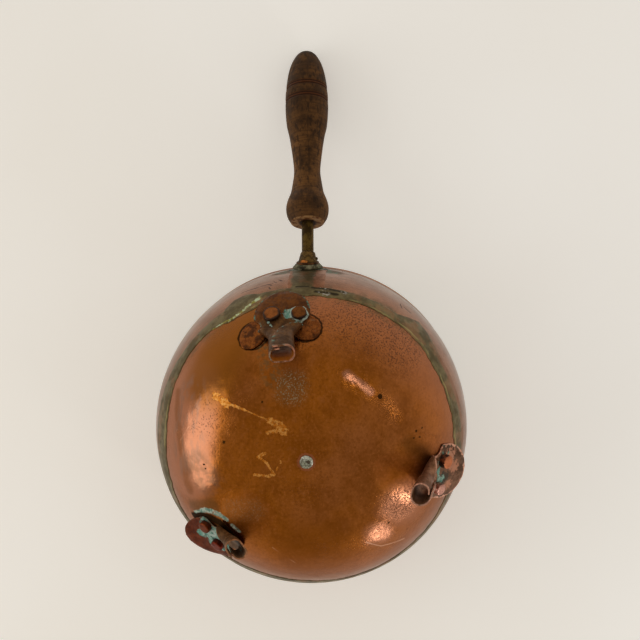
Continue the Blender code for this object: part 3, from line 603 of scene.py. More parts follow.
def bowl_crust(coat, fine):
    """Pale specks below the front foot, crust arcs, and painted shadow by the left foot: a brown band beside
    its crust arc and a near-black line round its tab.
    """
    below_front = coat.smudges(under, (44, -8, 5, 9))
    by_left = coat.smudges(under, (-32, -44, -30, -33, 3, 8))
    pale = coat.either(below_front, coat.times(by_left, 0.35))
    pale = coat.times(coat.patchy(1050, 3, 0.6, 0.53, 0.62), pale)
    coat.paint(below_front, (0.19, 0.092, 0.030), 0.45)
    coat.paint(by_left, (0.50, 0.200, 0.055), 0.30)
    coat.paint(pale, tone("A09878"), 0.60)
    grey = coat.times(coat.smudges(under, (66, -23, 48, -18, 2, 8)), coat.patchy(300, 5, 0.68, 0.46, 0.58))
    coat.paint(grey, tone("746A48"), 0.42)
    # painted shadow: a darker brown band beside the left foot's crust arc
    coat.paint(coat.smudges(under, (-34, -71, -31, -58, 2, 5)), (0.13, 0.066, 0.022), 0.55)
    line = ((-41.7, -71.2), (-39.4, -65.0), (-39.8, -59.8), (-42.0, -54.8), (-46.0, -50.4), (-52.0, -46.0))
    # painted shadow: a near-black line along the left foot's tab edge, where the tab stands off the bowl
    tab_gap_shadow = coat.smudges(under, *[(*start, *end, 2.0, 1.8) for start, end in zip(line, line[1:])], place=fine)
    coat.paint(tab_gap_shadow, tone("16180F"), 0.88)
    arc = ((-38.4, -70.5, 0.4), (-35.9, -66.1, 0.9), (-34.7, -63.1, 1.2), (-35.0, -59.4, 1.4),
           (-36.3, -54.6, 1.0), (-39.2, -49.7, 0.2))
    rows = [(*start[:2], *end[:2], start[2], 1.0) for start, end in zip(arc, arc[1:])]
    arcs = coat.smudges(under, *rows, (-42.6, -46.6, -46.5, -42.6, 0.5, 1.3), place=fine)
    arcs = coat.times(arcs, coat.patchy(330, 4, 0.65, 0.28, 0.46))
    coat.paint(arcs, coat.mix(coat.patchy(300, 5, 0.65, 0.42, 0.60), tone("C4D4C2"), tone("5E9484")), 0.85)
    return coat.either(arcs, pale), tab_gap_shadow


def bowl_scrapes(coat, fine):
    """Bright scrapes through the tarnish, pale scratches and the rubbed ring round the plug."""
    scrape = coat.times(coat.splashes(under, BOWL_SCRAPES), coat.patchy(560, 4, 0.7, 0.38, 0.47, 0.25, 1.0))
    bright = coat.mix(coat.patchy(520, 4, 0.66, 0.44, 0.58), (0.68, 0.215, 0.020), (0.95, 0.450, 0.110))
    coat.paint(scrape, bright, 0.86)
    scratches = coat.either(
        coat.splashes(under, ((-55, 34, -60, 43, 0.8, 0.8), (-60, 43, -58, 57, 1.0, 1.2))),
        coat.smudges(spot, (-84, 24, -76, 20, 0.02, 0.25), (-172, 17, -158, 12, 0.02, 0.30),
                     place=coat.place))
    coat.paint(scratches, (0.80, 0.42, 0.26), 0.55)
    coat.paint(coat.ring(AXIS, 4.7, 1.2, fine), (0.52, 0.17, 0.10), 0.40)
    return scrape


def bowl_marks(coat, fine):
    """Single dark pits, the first ones by their place in the part's frame."""
    pits = [(Vector(point) * MM, size) for *point, size in (
        (-34.0, -25.1, 20.1, 0.6), (-58.4, -48.7, 22.3, 0.8), (-73.5, -62.0, 28.0, 0.55),
        (-76.0, -61.0, 27.5, 0.4), (-61.0, 70.5, 35.5, 0.6))]
    pits += [(under(x, y), size) for x, y, size in (
        (36.1, 44.0, 1.3), (13.4, 64.9, 0.6), (9.3, 67.2, 0.6), (9.5, 63.6, 0.5), (14.4, 68.6, 0.5))]
    pits.append((spot(132, 14), 0.5))
    marks = coat.either(*[coat.near(point, size, 0.35, fine) for point, size in pits])
    coat.paint(marks, (0.030, 0.018, 0.006), 0.80)
    return marks


def bowl_coat():
    coat = Coat("polished_old_copper")
    roughness, grain, rubbed = copper_layers(
        coat, (0.46, 0.136, 0.013), (0.46, 0.150, 0.038), (0.24, 0.064, 0.004))
    coat.ragged = coat.warped(7.0, 2.2)
    fine = coat.warped(2.5, 0.9)
    level = coat.axes(coat.ragged)["Z"]
    pitted = bowl_tones(coat, level)
    dull = bowl_grime_and_shade(coat, level, fine)
    crust, tab_gap_shadow = bowl_crust(coat, fine)
    scrape = bowl_scrapes(coat, fine)
    marks = bowl_marks(coat, fine)
    crust = coat.either(crust, coat.times(pitted, 0.25))
    roughness = coat.blend(scrape, roughness, 0.40)
    roughness = coat.blend(coat.either(crust, marks, tab_gap_shadow), roughness, 0.78)
    roughness = coat.blend(dull, roughness, 0.55)
    coat.dress(roughness, coat.math("SUBTRACT", 1.0, coat.times(crust, 0.85), clamp=True))
    waves = coat.bump(coat.noise(48, 2, 0.5), 1.3, 0.45)
    waves = coat.bump(coat.noise(150, 3, 0.55), 0.30, 0.45, waves)
    small = coat.sum((grain, 0.5), (pitted, -1.5), (crust, 0.6), (scrape, -0.25), (rubbed, 0.15))
    coat.bump(small, 0.12, 0.55, waves)
    return coat.material


def wall_coat():
    coat = Coat("wall_copper")
    roughness, grain, rubbed = copper_layers(
        coat, (0.46, 0.195, 0.092), (0.46, 0.210, 0.115), (0.26, 0.105, 0.046))
    coat.ragged = coat.warped(6.0, 2.0)
    fine = coat.warped(2.0, 0.7)
    grime = coat.span(coat.axes(coat.ragged)["Z"], AXIS.z + 62 * MM, AXIS.z + 52 * MM, 0.0, 0.65)
    coat.paint(coat.times(grime, coat.patchy(75, 5, 0.6, 0.44, 0.62)), tone("635A3C"))
    bands = coat.span(coat.noise(1, 4, 0.6, stretch=(26, 26, 520)), 0.50, 0.66)
    coat.paint(bands, tone("6B3E28"), 0.30)
    stain = coat.smudges(spot, (0, 98, 13, 6), (9, 92, 4, 7), (-9, 93, 4, 6))
    coat.paint(stain, tone("4C4A38"), 0.72)
    teal = coat.times(stain, coat.patchy(240, 4, 0.6, 0.50, 0.60))
    coat.paint(teal, VERDIGRIS, 0.65)
    nicks = coat.smudges(spot, *[(*ends, 0.25, 0.45) for ends in (
        (-24.5, 68.5, -17.5, 66.0), (-14.0, 66.5, -12.6, 62.5), (-12.0, 69.5, -10.8, 65.5),
        (-9.9, 70.5, -8.6, 66.5), (-13.6, 60.2, -13.0, 57.5), (-16.5, 66.5, -12.0, 65.5),
        (36.0, 72.0, 37.0, 66.0), (38.0, 71.0, 41.0, 69.5))],
        place=fine)
    coat.paint(nicks, SOOT_AND_SHADE, 0.85)
    crust = coat.either(coat.times(teal, 0.9), coat.times(nicks, 0.5))
    roughness = coat.blend(coat.either(crust, coat.times(stain, 0.6)), roughness, 0.72)
    coat.dress(roughness, coat.math("SUBTRACT", 1.0, coat.times(crust, 0.8), clamp=True))
    waves = coat.bump(coat.noise(60, 2, 0.5), 0.9, 0.35)
    coat.bump(coat.sum((grain, 0.4), (nicks, -0.8), (rubbed, 0.2)), 0.12, 0.5, waves)
    return coat.material


def tin_coat():
    """Wiped tin lining, gone grey, rubbed through to copper here and there."""
    coat = Coat("worn_tinning")
    wiped = coat.noise(1, 4, 0.6, stretch=(45, 140, 320))
    cloud = coat.noise(38, 6, 0.62)
    grain = coat.noise(600, 3, 0.6)
    coat.colour = coat.mix(coat.span(cloud, 0.35, 0.65), tone("CFCBC0", 1.1), tone("CFCBC0", 0.72))
    coat.paint(coat.span(wiped, 0.52, 0.70, 0.0, 0.4), tone("77736A"))
    coat.paint(coat.patchy(62, 5, 0.65, 0.62, 0.70), tone("8A6A50"), 0.75)
    coat.dress(coat.sum((coat.span(cloud, 0.3, 0.7, 0.38, 0.56), 1.0), (grain, 0.1)), 0.45)
    coat.bump(coat.sum((wiped, 1.0), (grain, 0.4)), 0.15, 0.5)
    return coat.material


def braze_coat(name, strip=False):
    """Olive brass that ran along the seam, with a painted highlight along its raised edge."""
    coat = Coat(name)
    coat.ragged = coat.warped(2.5, 1.0)
    cloud = coat.noise(120, 6, 0.68)
    coat.colour = coat.mix(coat.span(cloud, 0.38, 0.60), (0.205, 0.162, 0.070), (0.125, 0.092, 0.038))
    coat.paint(coat.patchy(70, 5, 0.65, 0.50, 0.62), (0.32, 0.165, 0.072), 0.65)
    # painted highlight: yellow-olive along the raised edge of the braze
    edge_highlight = coat.times(coat.span(coat.attribute("border"), 0.60, 0.95), coat.patchy(75, 4, 0.55, 0.46, 0.60))
    coat.paint(edge_highlight, (0.44, 0.36, 0.14), 0.8)
    green = coat.splashes(spot, ((-17.5, 49, -19.5, 47, 2.4, 2), (-19.5, 47, -24, 43.5, 1.5, 2),
                                 (-24, 43, -31, 41, 1.5, 2), (-31, 42, -38, 43.2, 1.0, 2)), 520)
    coat.paint(green, coat.mix(coat.patchy(260, 4, 0.6, 0.46, 0.58), tone("9C9440"), tone("CDDCB4")), 0.9)
    dark = coat.smudges(spot, (3, 52, 15, 51, 0.9, 1.1), (4, 47.5, 12, 47, 0.8, 1.1),
                        (-3, 54, 1, 53.5, 0.5, 1.1))
    coat.paint(dark, tone("30281A"), 0.85)
    flux = coat.times(coat.smudges(spot, (6.5, 51.5, 2, 2.5), (14.5, 50.5, 1, 1.5), (7, 46, 2, 3)),
                      coat.patchy(420, 3, 0.55, 0.54, 0.60))
    coat.paint(flux, tone("B9B2A6"), 0.85)
    if strip:
        across = coat.axes(coat.warped(7.0, 2.6))["Y"]
        bare = coat.either(coat.span(across, 4.2 * MM, 6.4 * MM), coat.span(across, -7.8 * MM, -9.6 * MM))
        coat.paint(bare, coat.mix(coat.span(cloud, 0.4, 0.6), (0.44, 0.185, 0.088), (0.29, 0.115, 0.050)))
    else:
        axes = coat.axes(coat.warped(6.0, 1.6))
        outer = coat.times(coat.span(axes["Z"], AXIS.z + 47.5 * MM, AXIS.z + 50.5 * MM),
                           coat.span(axes["Y"], 76 * MM, 84 * MM))
        coat.paint(outer, (0.36, 0.160, 0.080), 0.85)
    roughness = coat.sum((coat.span(cloud, 0.3, 0.7, 0.30, 0.50), 1.0), (dark, 0.2))
    coat.dress(roughness, coat.math("SUBTRACT", 1.0, coat.times(flux, 0.6)))
    coat.bump(coat.sum((cloud, 1.0), (coat.noise(700, 4, 0.6), 0.3)), 0.4, 0.5)
    return coat.material


def foot_crust(coat, at, edge, spots, green_edges, streaks, rings):
    """Verdigris in spots (place, radius, amount), streaks and rings; gives where it lies."""
    fleck = coat.noise(300, 5, 0.68)
    crust = coat.either(*[coat.times(coat.near(at(place), radius, radius * 0.9), amount)
                          for place, radius, amount in spots])
    crust = coat.span(coat.sum((fleck, 2.2), (crust, 1.0), (1.0, -1.1)), 0.58, 0.84)
    crust = coat.times(crust, coat.span(coat.axes()["Z"], 12 * MM, 22 * MM))
    if green_edges:
        rim = coat.times(coat.span(edge, 1.6 * MM, 0.5 * MM), coat.span(fleck, 0.50, 0.60))
        crust = coat.either(crust, coat.times(rim, green_edges))
    crust = coat.either(crust, *[coat.splash(at(start), at(end), radius, 2.2, 520)
                                 for start, end, radius in streaks])
    colour = coat.mix(coat.patchy(380, 5, 0.65, 0.40, 0.60), VERDIGRIS_DEEP, VERDIGRIS_PALE)
    colour = coat.mix(coat.span(fleck, 0.42, 0.66), colour, VERDIGRIS)
    for place, radius, half_width in rings:
        collar = coat.times(coat.ring(at(place), radius, half_width), coat.span(fleck, 0.32, 0.46))
        crust = coat.either(crust, collar)
        colour = coat.mix(coat.times(collar, 0.75), colour, tone("D3DFD2"))
    coat.paint(crust, colour, 0.9)
    return crust


def foot_wear(coat, edge, on_leg, grain, wear, tab_wear, leg_wear, wear_reach):
    """Metal rubbed bare along the sheet's edges and at the leg's tip; gives where it shows."""
    noise = coat.noise(280, 5, 0.65)
    reach = coat.math("MULTIPLY_ADD", noise, 3.4 * MM * wear_reach, -1.35 * MM * wear_reach)
    worn = coat.span(coat.math("SUBTRACT", edge, reach), 0.30 * MM, -0.1 * MM)
    worn = coat.times(worn, coat.span(on_leg, 0.1, 0.7, tab_wear, leg_wear))
    tip = coat.span(coat.math("MULTIPLY_ADD", noise, -1.6 * MM, coat.axes()["Z"]), 0.6 * MM, -0.2 * MM)
    worn = coat.either(worn, coat.times(tip, coat.patchy(150, 4, 0.6, 0.42, 0.58, 0.05, 1.0)))
    coat.paint(worn, coat.mix(coat.span(grain, 0.40, 0.60), wear, scaled(wear, 0.62)))
    return worn


def foot_coat(foot, name, tab, leg, wear, tab_wear, leg_wear, throat_rust_and_light, spots, streaks, green_edges=0.0,
              wear_reach=1.0, grey_share=0.3, metal_share=0.8, gloss=0.25, rings=(), blots_and_glints=()):
    """Hammered old sheet: rusty or dark tones, worn edges, verdigris round the rivets.

    Places are points, or the side on the rivet row and the millimetres across and up the tab from there.
    """
    def at(place):
        return place if isinstance(place, Vector) else rivet_point(foot, *place)

    coat = Coat(name)
    coat.ragged = coat.warped(4.0, 1.6)
    cloud = coat.patchy(110, 6, 0.68, 0.38, 0.62)
    grain = coat.noise(620, 5, 0.66)
    on_leg = coat.attribute("leg")
    edge = coat.attribute("edge")
    coat.colour = coat.mix(coat.span(on_leg, 0.2, 0.8), coat.mix(cloud, *tab), coat.mix(cloud, *leg))
    coat.paint(coat.span(grain, 0.48, 0.66, 0.0, 0.5), (0.035, 0.014, 0.006))
    grey = coat.patchy(150, 5, 0.65, 0.54, 0.66)
    coat.paint(coat.times(grey, coat.span(on_leg, 0.0, 1.0, grey_share, 0.1)), tone("6E675E"))
    # inside the roll towards its open tip: rust-orange, painted lighter to stand in for the light that gets
    # into the tip
    inside = coat.times(coat.span(coat.attribute("within"), 0.75, 0.95),
                        coat.span(coat.axes()["Z"], 17 * MM, 6 * MM))
    coat.paint(inside, coat.mix(cloud, throat_rust_and_light, scaled(throat_rust_and_light, 0.6)))
    # blots of another tone; on the right foot some of them are painted glints
    for place, radius, colour in blots_and_glints:
        blot = coat.splash(at(place), at(place) + Vector((0.1 * MM, 0.0, 0.0)), radius, 3.0, 620)
        coat.paint(blot, colour, 0.75)
    crust = foot_crust(coat, at, edge, spots, green_edges, streaks, rings)
    worn = foot_wear(coat, edge, on_leg, grain, wear, tab_wear, leg_wear, wear_reach)
    roughness = coat.blend(worn, coat.span(cloud, 0.0, 1.0, 0.36, 0.52), 0.28)
    covered = coat.either(crust, coat.times(inside, 0.9))
    metal = coat.math("SUBTRACT", coat.blend(worn, metal_share, 1.0), coat.times(covered, 0.8), clamp=True)
    coat.dress(coat.blend(crust, roughness, 0.85), metal)
    coat.shader.inputs["Specular IOR Level"].default_value = gloss
    dents = coat.bump(coat.noise(170, 3, 0.5), 0.8, 0.5)
    coat.bump(coat.sum((grain, 0.5), (crust, 1.0)), 0.22, 0.8, dents)
    return coat.material


def front_foot_coat(foot):
    outer_side = AXIS + Vector((86, -8, 17)) * MM
    outer_tip = AXIS + Vector((74.5, -6.5, -13)) * MM
    return foot_coat(
        foot, "front_foot_copper", tab=((0.180, 0.052, 0.003), (0.086, 0.024, 0.002)),
        leg=((0.165, 0.068, 0.016), (0.072, 0.029, 0.007)), wear=(0.76, 0.330, 0.200), tab_wear=0.0,
        leg_wear=0.15, throat_rust_and_light=(0.50, 0.150, 0.012), green_edges=0.7, grey_share=0.10, metal_share=0.6,
        spots=(((0.25,), 3.0, 0.9), ((1.0, 1.0, -6.0), 2.6, 0.8), ((-1.0, 4.0), 3.4, 0.5)),
        rings=(((1.0,), 5.1, 0.9),),
        streaks=((outer_side, outer_tip, 1.3), ((-1.4, 0.0, -4.0), (-1.0, 0.0, -12.0), 1.4)))


def right_foot_coat(foot):
    return foot_coat(
        foot, "right_foot_copper", tab=((0.240, 0.118, 0.068), (0.115, 0.055, 0.030)),
        leg=((0.380, 0.180, 0.100), (0.200, 0.086, 0.040)), wear=(0.84, 0.430, 0.290), tab_wear=0.95,
        leg_wear=0.95, throat_rust_and_light=(0.24, 0.110, 0.050), green_edges=0.3, wear_reach=2.6,
        spots=(((0.35, 0.0, 1.5), 2.2, 0.85), ((-1.0,), 5.4, 0.55), ((1.0,), 4.4, 0.50)),
        streaks=(((-0.4, 0.0, -3.5), (0.5, 0.0, -1.0), 1.9),),
        # the first three blots are painted glints of lighter copper; the last is the tab's dark grey-green
        # middle
        blots_and_glints=(((-1.3, 0.0, 6.0), 6.0, (0.66, 0.300, 0.180)), ((-0.4, 0.0, 11.0), 5.5, (0.60, 0.260, 0.150)),
               ((0.8, 0.0, 9.0), 4.5, (0.60, 0.260, 0.150)), ((0.3, 0.0, 4.0), 6.5, (0.050, 0.048, 0.034))))


def left_foot_coat(foot):
    """With a crescent of crust round its first rivet, drawn as short streaks."""
    crescent = (
        (-4.1, 5.7, -6.3, 1.0, 1.9), (-6.3, 1.0, -5.3, -4.7, 2.3), (-5.3, -4.7, 0.0, -6.6, 2.4),
        (0.0, -6.6, 4.7, -5.0, 2.6), (4.7, -5.0, 7.0, -1.0, 2.8), (7.0, -1.0, 9.0, 0.5, 2.6),
        (7.0, 1.0, 2.5, 7.7, 1.6), (8.0, 2.0, 12.0, 6.0, 2.2))
    return foot_coat(
        foot, "left_foot_copper", tab=((0.190, 0.030, 0.003), (0.092, 0.014, 0.002)),
        leg=((0.200, 0.090, 0.030), (0.100, 0.043, 0.014)), wear=(0.66, 0.290, 0.140), tab_wear=0.10,
        leg_wear=0.5, throat_rust_and_light=(0.34, 0.190, 0.100), grey_share=0.10, metal_share=0.15, gloss=0.1,
        spots=(((-1.0,), 6.4, 0.8), ((0.1,), 6.0, 1.0), ((1.0,), 5.0, 0.8), ((0.5, 0.0, 9.0), 3.0, 0.9)),
        rings=(((0.2,), 2.6, 1.6),),
        streaks=[((-1.0, a, b), (-1.0, c, d), radius) for a, b, c, d, radius in crescent])


def rivet_coat(name, face, dark, speck, slit=False):
    """A rivet: its flat top face lighter, darker round its sides and edge."""
    coat = Coat(name, local=True)
    cloud = coat.patchy(260, 5, 0.62, 0.34, 0.66)
    grain = coat.noise(1300, 3, 0.6)
    away = coat.sum((coat.off_axis(), 1.0), (cloud, 0.7 * MM), (1.0, -0.35 * MM))
    flat = coat.times(coat.span(away, 4.6 * MM, 3.6 * MM), coat.span(coat.axes()["Z"], 1.6 * MM, 2.2 * MM))
    coat.colour = coat.mix(flat, tone(dark), coat.mix(cloud, tone(face, 1.25), tone(face, 0.85)))
    coat.paint(coat.span(grain, 0.50, 0.66, 0.0, speck), tone(dark))
    if slit:
        line = coat.stroke(Vector((-1.6, -0.8, 3.6)) * MM, Vector((1.4, 0.7, 3.6)) * MM, 0.1, 0.5)
        coat.paint(line, tone("B98A60"))
    coat.dress(coat.span(cloud, 0.0, 1.0, 0.34, 0.50), coat.blend(flat, 0.6, 1.0))
    coat.bump(coat.sum((cloud, 1.0), (grain, 0.5)), 0.16, 0.6)
    return coat.material


def rust_coat(name, light, mid, dark, green, metal, bright=None):
    """Small fittings: blotched metal with a little verdigris; bright is a place, radius and tone of one spot,
    a dark pit on the plug and a painted highlight on the washer and on the collar.
    """
    coat = Coat(name)
    cloud = coat.patchy(240, 6, 0.68, 0.38, 0.62)
    grain = coat.noise(900, 4, 0.6)
    coat.colour = coat.mix(cloud, tone(light), tone(mid))
    coat.paint(coat.patchy(150, 5, 0.65, 0.50, 0.60, 0.0, 0.85), tone(dark))
    coat.paint(coat.span(grain, 0.50, 0.66, 0.0, 0.45), tone(dark, 0.8))
    if bright:
        place, radius, bright_tone = bright
        coat.paint(coat.splash(place, place + Vector((0.2 * MM, 0.0, 0.0)), radius, 1.0, 500), bright_tone)
    crust = coat.patchy(210, 5, 0.62, 0.64, 0.70)
    coat.paint(crust, VERDIGRIS, green)
    coat.dress(coat.span(cloud, 0.0, 1.0, 0.38, 0.58),
               coat.math("SUBTRACT", metal, coat.times(crust, green * 0.6), clamp=True))
    coat.bump(coat.sum((cloud, 1.0), (grain, 0.45)), 0.30, 0.6)
    return coat.material


def wood_coat():
    """Dark turned wood, handled smooth: turned rings, short pores, blotches, a paler worn neck."""
    coat = Coat("old_turned_wood", local=True)
    along = coat.axes()["Z"]
    blotch = coat.patchy(105, 6, 0.68, 0.34, 0.66)
    fleck = coat.noise(1, 5, 0.65, stretch=(420, 420, 190))
    grain = coat.noise(1, 5, 0.6, stretch=(380, 380, 22))
    turned = coat.noise(1, 4, 0.55, stretch=(9, 9, 620))
    coat.colour = coat.mix(blotch, (0.052, 0.0215, 0.0060), (0.146, 0.062, 0.0165))
    neck = coat.times(coat.span(along, 78 * MM, 40 * MM), coat.span(along, 2 * MM, 14 * MM))
    coat.paint(coat.times(neck, coat.patchy(90, 6, 0.68, 0.42, 0.60)), (0.215, 0.090, 0.022), 0.75)
    coat.paint(coat.span(fleck, 0.50, 0.62, 0.0, 0.65), (0.012, 0.0055, 0.002))
    coat.paint(coat.span(grain, 0.54, 0.68, 0.0, 0.5), (0.018, 0.008, 0.003))
    coat.paint(coat.span(turned, 0.48, 0.60, 0.0, 0.55), (0.052, 0.022, 0.006))
    sooty = coat.times(coat.patchy(28, 4, 0.6, 0.48, 0.64), coat.span(along, 55 * MM, 90 * MM, 0.25, 0.7))
    coat.paint(sooty, (0.034, 0.0165, 0.0070))
    for groove in GROOVES:
        line = coat.math("ABSOLUTE", coat.math("SUBTRACT", along, groove))
        coat.paint(coat.span(line, 2.3 * MM, 0.9 * MM), (0.100, 0.028, 0.006), 0.80)
        # painted shade: dark lines in the cuts beside each groove
        for side in (-1.0, 1.0):
            cut = coat.math("ABSOLUTE", coat.math("SUBTRACT", along, groove + side * CUT_BESIDE_GROOVE))
            coat.paint(coat.span(cut, 0.65 * MM, 0.15 * MM, 0.0, 0.8), (0.016, 0.006, 0.002))
    end = coat.mix(coat.patchy(230, 5, 0.65, 0.42, 0.58), (0.40, 0.215, 0.085), (0.135, 0.050, 0.016))
    end = coat.mix(coat.span(coat.off_axis(), 6.6 * MM, 4.8 * MM, 0.0, 0.92), end, (0.016, 0.006, 0.002))
    coat.paint(coat.span(along, 1.0 * MM, 0.3 * MM), end)
    coat.dress(coat.sum((coat.span(blotch, 0.0, 1.0, 0.42, 0.54), 1.0), (fleck, 0.12)), 0.0)
    coat.shader.inputs["Specular IOR Level"].default_value = 0.12
    coat.bump(coat.sum((turned, 0.5), (grain, -0.5), (fleck, -0.6)), 0.35, 0.6)
    return coat.material


def ground_coat(name, colour, lift, mirrored=0.0):
    """Pale matt paper, seen from one side only, brightened for the camera and for what mirrors it."""
    coat = Coat(name)
    axes = coat.axes()
    slant = coat.math("MULTIPLY_ADD", axes["X"], 0.5, axes["Y"])
    share = coat.sum((coat.patchy(2.2, 4, 0.55, 0.35, 0.65, 0.0, 0.3), 1.0), (coat.noise(160, 3, 0.6), 0.1),
                     (coat.span(slant, -0.20, 0.22, 0.0, 0.6), 1.0))
    warm = (colour[0] * 0.94, colour[1] * 0.92, colour[2] * 0.89)
    cool = (colour[0] * 1.06, colour[1] * 1.09, colour[2] * 1.15)
    coat.colour = coat.mix(share, warm, cool)
    coat.dress(0.9, 0.0)
    coat.shader.inputs["Specular IOR Level"].default_value = 0.0
    coat.shader.inputs["Emission Color"].default_value = (*colour, 1.0)
    rays = coat.add("ShaderNodeLightPath").outputs
    glow = coat.sum((rays["Is Glossy Ray"], mirrored), (rays["Is Camera Ray"], lift))
    coat.feed(coat.shader.inputs["Emission Strength"], glow)
    sides = coat.add("ShaderNodeMixShader")
    coat.feed(sides.inputs[0], coat.add("ShaderNodeNewGeometry").outputs["Backfacing"])
    coat.feed(sides.inputs[1], coat.shader.outputs[0])
    coat.feed(sides.inputs[2], coat.add("ShaderNodeBsdfTransparent").outputs[0])
    coat.feed(coat.tree.nodes["Material Output"].inputs["Surface"], sides.outputs[0])
    return coat.material


# Body

def bowl_relief(points):
    """How far the hammered surface stands off the true one."""
    lift = rough(points, 21 * MM) * 0.11 * MM + rough(points, 8 * MM, 3.1) * 0.035 * MM
    for azimuth, height, radius, depth in BOWL_DENTS:
        place = on_body(math.radians(azimuth), height * MM)
        away = np.linalg.norm(points - place, axis=-1) / (radius * MM)
        lift -= depth * MM * np.exp(-away ** 2)
    return np.minimum(lift, 0.14 * MM) - 0.02 * MM


def make_bowl(outside, inside):
    heights = height_at(np.linspace(0.0, travel_to(SEAM_LOW - FIT), 96))[:, None]
    azimuths = np.linspace(0.0, TURN, 320, endpoint=False)[None, :]
    lift = bowl_relief(on_body(azimuths, heights))
    outer = on_body(azimuths, heights, lift)
    inner = on_body(azimuths, heights, lift * 0.8 - SHEET)
    for skin in (outer, inner):
        skin[0] = skin[0].mean(axis=0)
    rows = len(heights)
    mesh = grid_mesh("bowl", np.concatenate([outer, inner[::-1]]), inner_from=(rows, 2 * rows))
    mesh.materials.append(outside)
    mesh.materials.append(inside)
    add_piece("bowl", finish_mesh(mesh), "base_bowl")


def wall_relief(points):
    return rough(points, 26 * MM, 5.0) * 0.08 * MM + rough(points, 9 * MM, 1.7) * 0.03 * MM - 0.13 * MM


def make_wall(outside, inside):
    """The wall's band, open under the handle where the side seam closes it."""
    travels = np.linspace(travel_to(SEAM_HIGH + FIT), travel_to(RIM_HEIGHT - 0.45 * MM), 58)
    heights = height_at(travels)[:, None]
    half = np.arcsin((SIDE_SEAM_HALF + FIT) / body_radius(heights))
    shares = np.linspace(0.0, 1.0, 321)[None, :]
    azimuths = half + shares * (TURN - 2.0 * half)
    lift = wall_relief(on_body(azimuths, heights))
    outer = on_body(azimuths, heights, lift)
    inner = on_body(azimuths, heights, lift - SHEET + 0.1 * MM)
    top = RIM_HEIGHT + 0.0 * azimuths[-1:]
    edge = [on_body(azimuths[-1:], top, lift[-1:] - 0.45 * MM),
            on_body(azimuths[-1:], top, lift[-1:] - SHEET + 0.55 * MM)]
    points = np.concatenate([outer, *edge, inner[::-1]])
    rows = len(heights)
    mesh = grid_mesh("wall", points, wrap_columns=False, wrap_rows=True,
                     inner_from=(rows + 1, 2 * rows + 1), caps=True)
    mesh.materials.append(outside)
    mesh.materials.append(inside)
    add_piece("wall", finish_mesh(mesh), "side_wall")


def set_attribute(mesh, name, values):
    layer = mesh.attributes.new(name, "FLOAT", "POINT")
    layer.data.foreach_set("value", np.asarray(values, np.float32).ravel())


def make_seam(material):
    """The ring as the braze ran: raised in its middle, feathered over the copper at both edges."""
    azimuths = np.linspace(0.0, TURN, 720, endpoint=False)[None, :]
    circle = on_body(azimuths, 48.0 * MM + 0.0 * azimuths)
    ragged = rough(circle, 7 * MM, 2.0) * 1.1 * MM + rough(circle, 2.4 * MM, 9.0) * 0.45 * MM
    low = np.minimum(around_table(SEAM_EDGE_LOW, azimuths) + ragged, SEAM_LOW - 0.5 * MM)
    ragged = rough(circle, 6 * MM, 12.0) * 0.8 * MM + rough(circle, 2.2 * MM, 4.0) * 0.4 * MM
    high = np.maximum(around_table(SEAM_EDGE_HIGH, azimuths) + ragged, SEAM_HIGH + 0.5 * MM)
    shares = np.linspace(0.0, 1.0, 21)[:, None]
    heights = high + (low - high) * shares
    body = on_body(azimuths, heights)
    crown = np.sin(math.pi * shares) ** 0.5
    bead = np.exp(-((shares - 0.9) / 0.07) ** 2)
    proud = 0.16 * MM + 0.20 * MM * crown + 0.10 * MM * bead
    proud = proud + rough(body, 5 * MM, 6.0) * 0.10 * MM * crown + rough(body, 1.8 * MM, 8.0) * 0.04 * MM
    outer = on_body(azimuths, heights, proud)
    inlay_low, inlay_high = SEAM_LOW - 0.7 * MM, SEAM_HIGH + 0.7 * MM
    back = [on_body(azimuths, height, depth) for height, depth in (
        (low, -0.3 * MM), (inlay_low, -0.3 * MM), (inlay_low, -SHEET - 0.2 * MM),
        ((SEAM_LOW + SEAM_HIGH) / 2.0, -SHEET - 0.4 * MM), (inlay_high, -SHEET - 0.2 * MM),
        (inlay_high, -0.3 * MM), (high, -0.3 * MM))]
    points = np.concatenate([outer, *back])
    mesh = grid_mesh("seam", points, wrap_rows=True)
    border = np.zeros(points.shape[:2])
    border[:len(shares)] = np.maximum(bead, np.exp(-((shares - 0.02) / 0.05) ** 2) * 0.8)
    set_attribute(mesh, "border", border)
    add_piece("seam_ring", finish_mesh(mesh, 60.0), "base_seam_braze", (material,))


def make_side_seam(material):
    """The seam's strip under the handle, with run edges over the copper on both sides."""
    travels = np.linspace(travel_to(SEAM_HIGH - 0.5 * MM), travel_to(RIM_HEIGHT - 0.2 * MM), 70)
    heights = height_at(travels)[:, None]
    middle = on_body(0.0 * heights, heights)
    left = np.minimum(-10.9 * MM + rough(middle, 8 * MM, 3.0) * 0.5 * MM, -10.45 * MM)
    right = 12.0 * MM + rough(middle, 7 * MM, 8.0) * 1.2 * MM
    shares = np.linspace(0.0, 1.0, 25)[None, :]
    azimuths = np.arcsin((left + (right - left) * shares) / body_radius(heights))
    grid = on_body(azimuths, heights)
    crown = np.sin(math.pi * shares) ** 0.5
    proud = -0.09 * MM + 0.22 * MM * crown + rough(grid, 5 * MM, 6.0) * 0.06 * MM * crown
    outer = on_body(azimuths, heights, proud)
    inner = on_body(azimuths, heights, -SHEET - 0.12 * MM + 0.0 * proud)
    points = np.concatenate([outer, inner[::-1]])
    mesh = grid_mesh("side_seam", points, wrap_columns=False, wrap_rows=True, caps=True)
    set_attribute(mesh, "border", np.zeros(points.shape[:2]))
    add_piece("side_seam", finish_mesh(mesh, 60.0), "side_seam_braze", (material,))


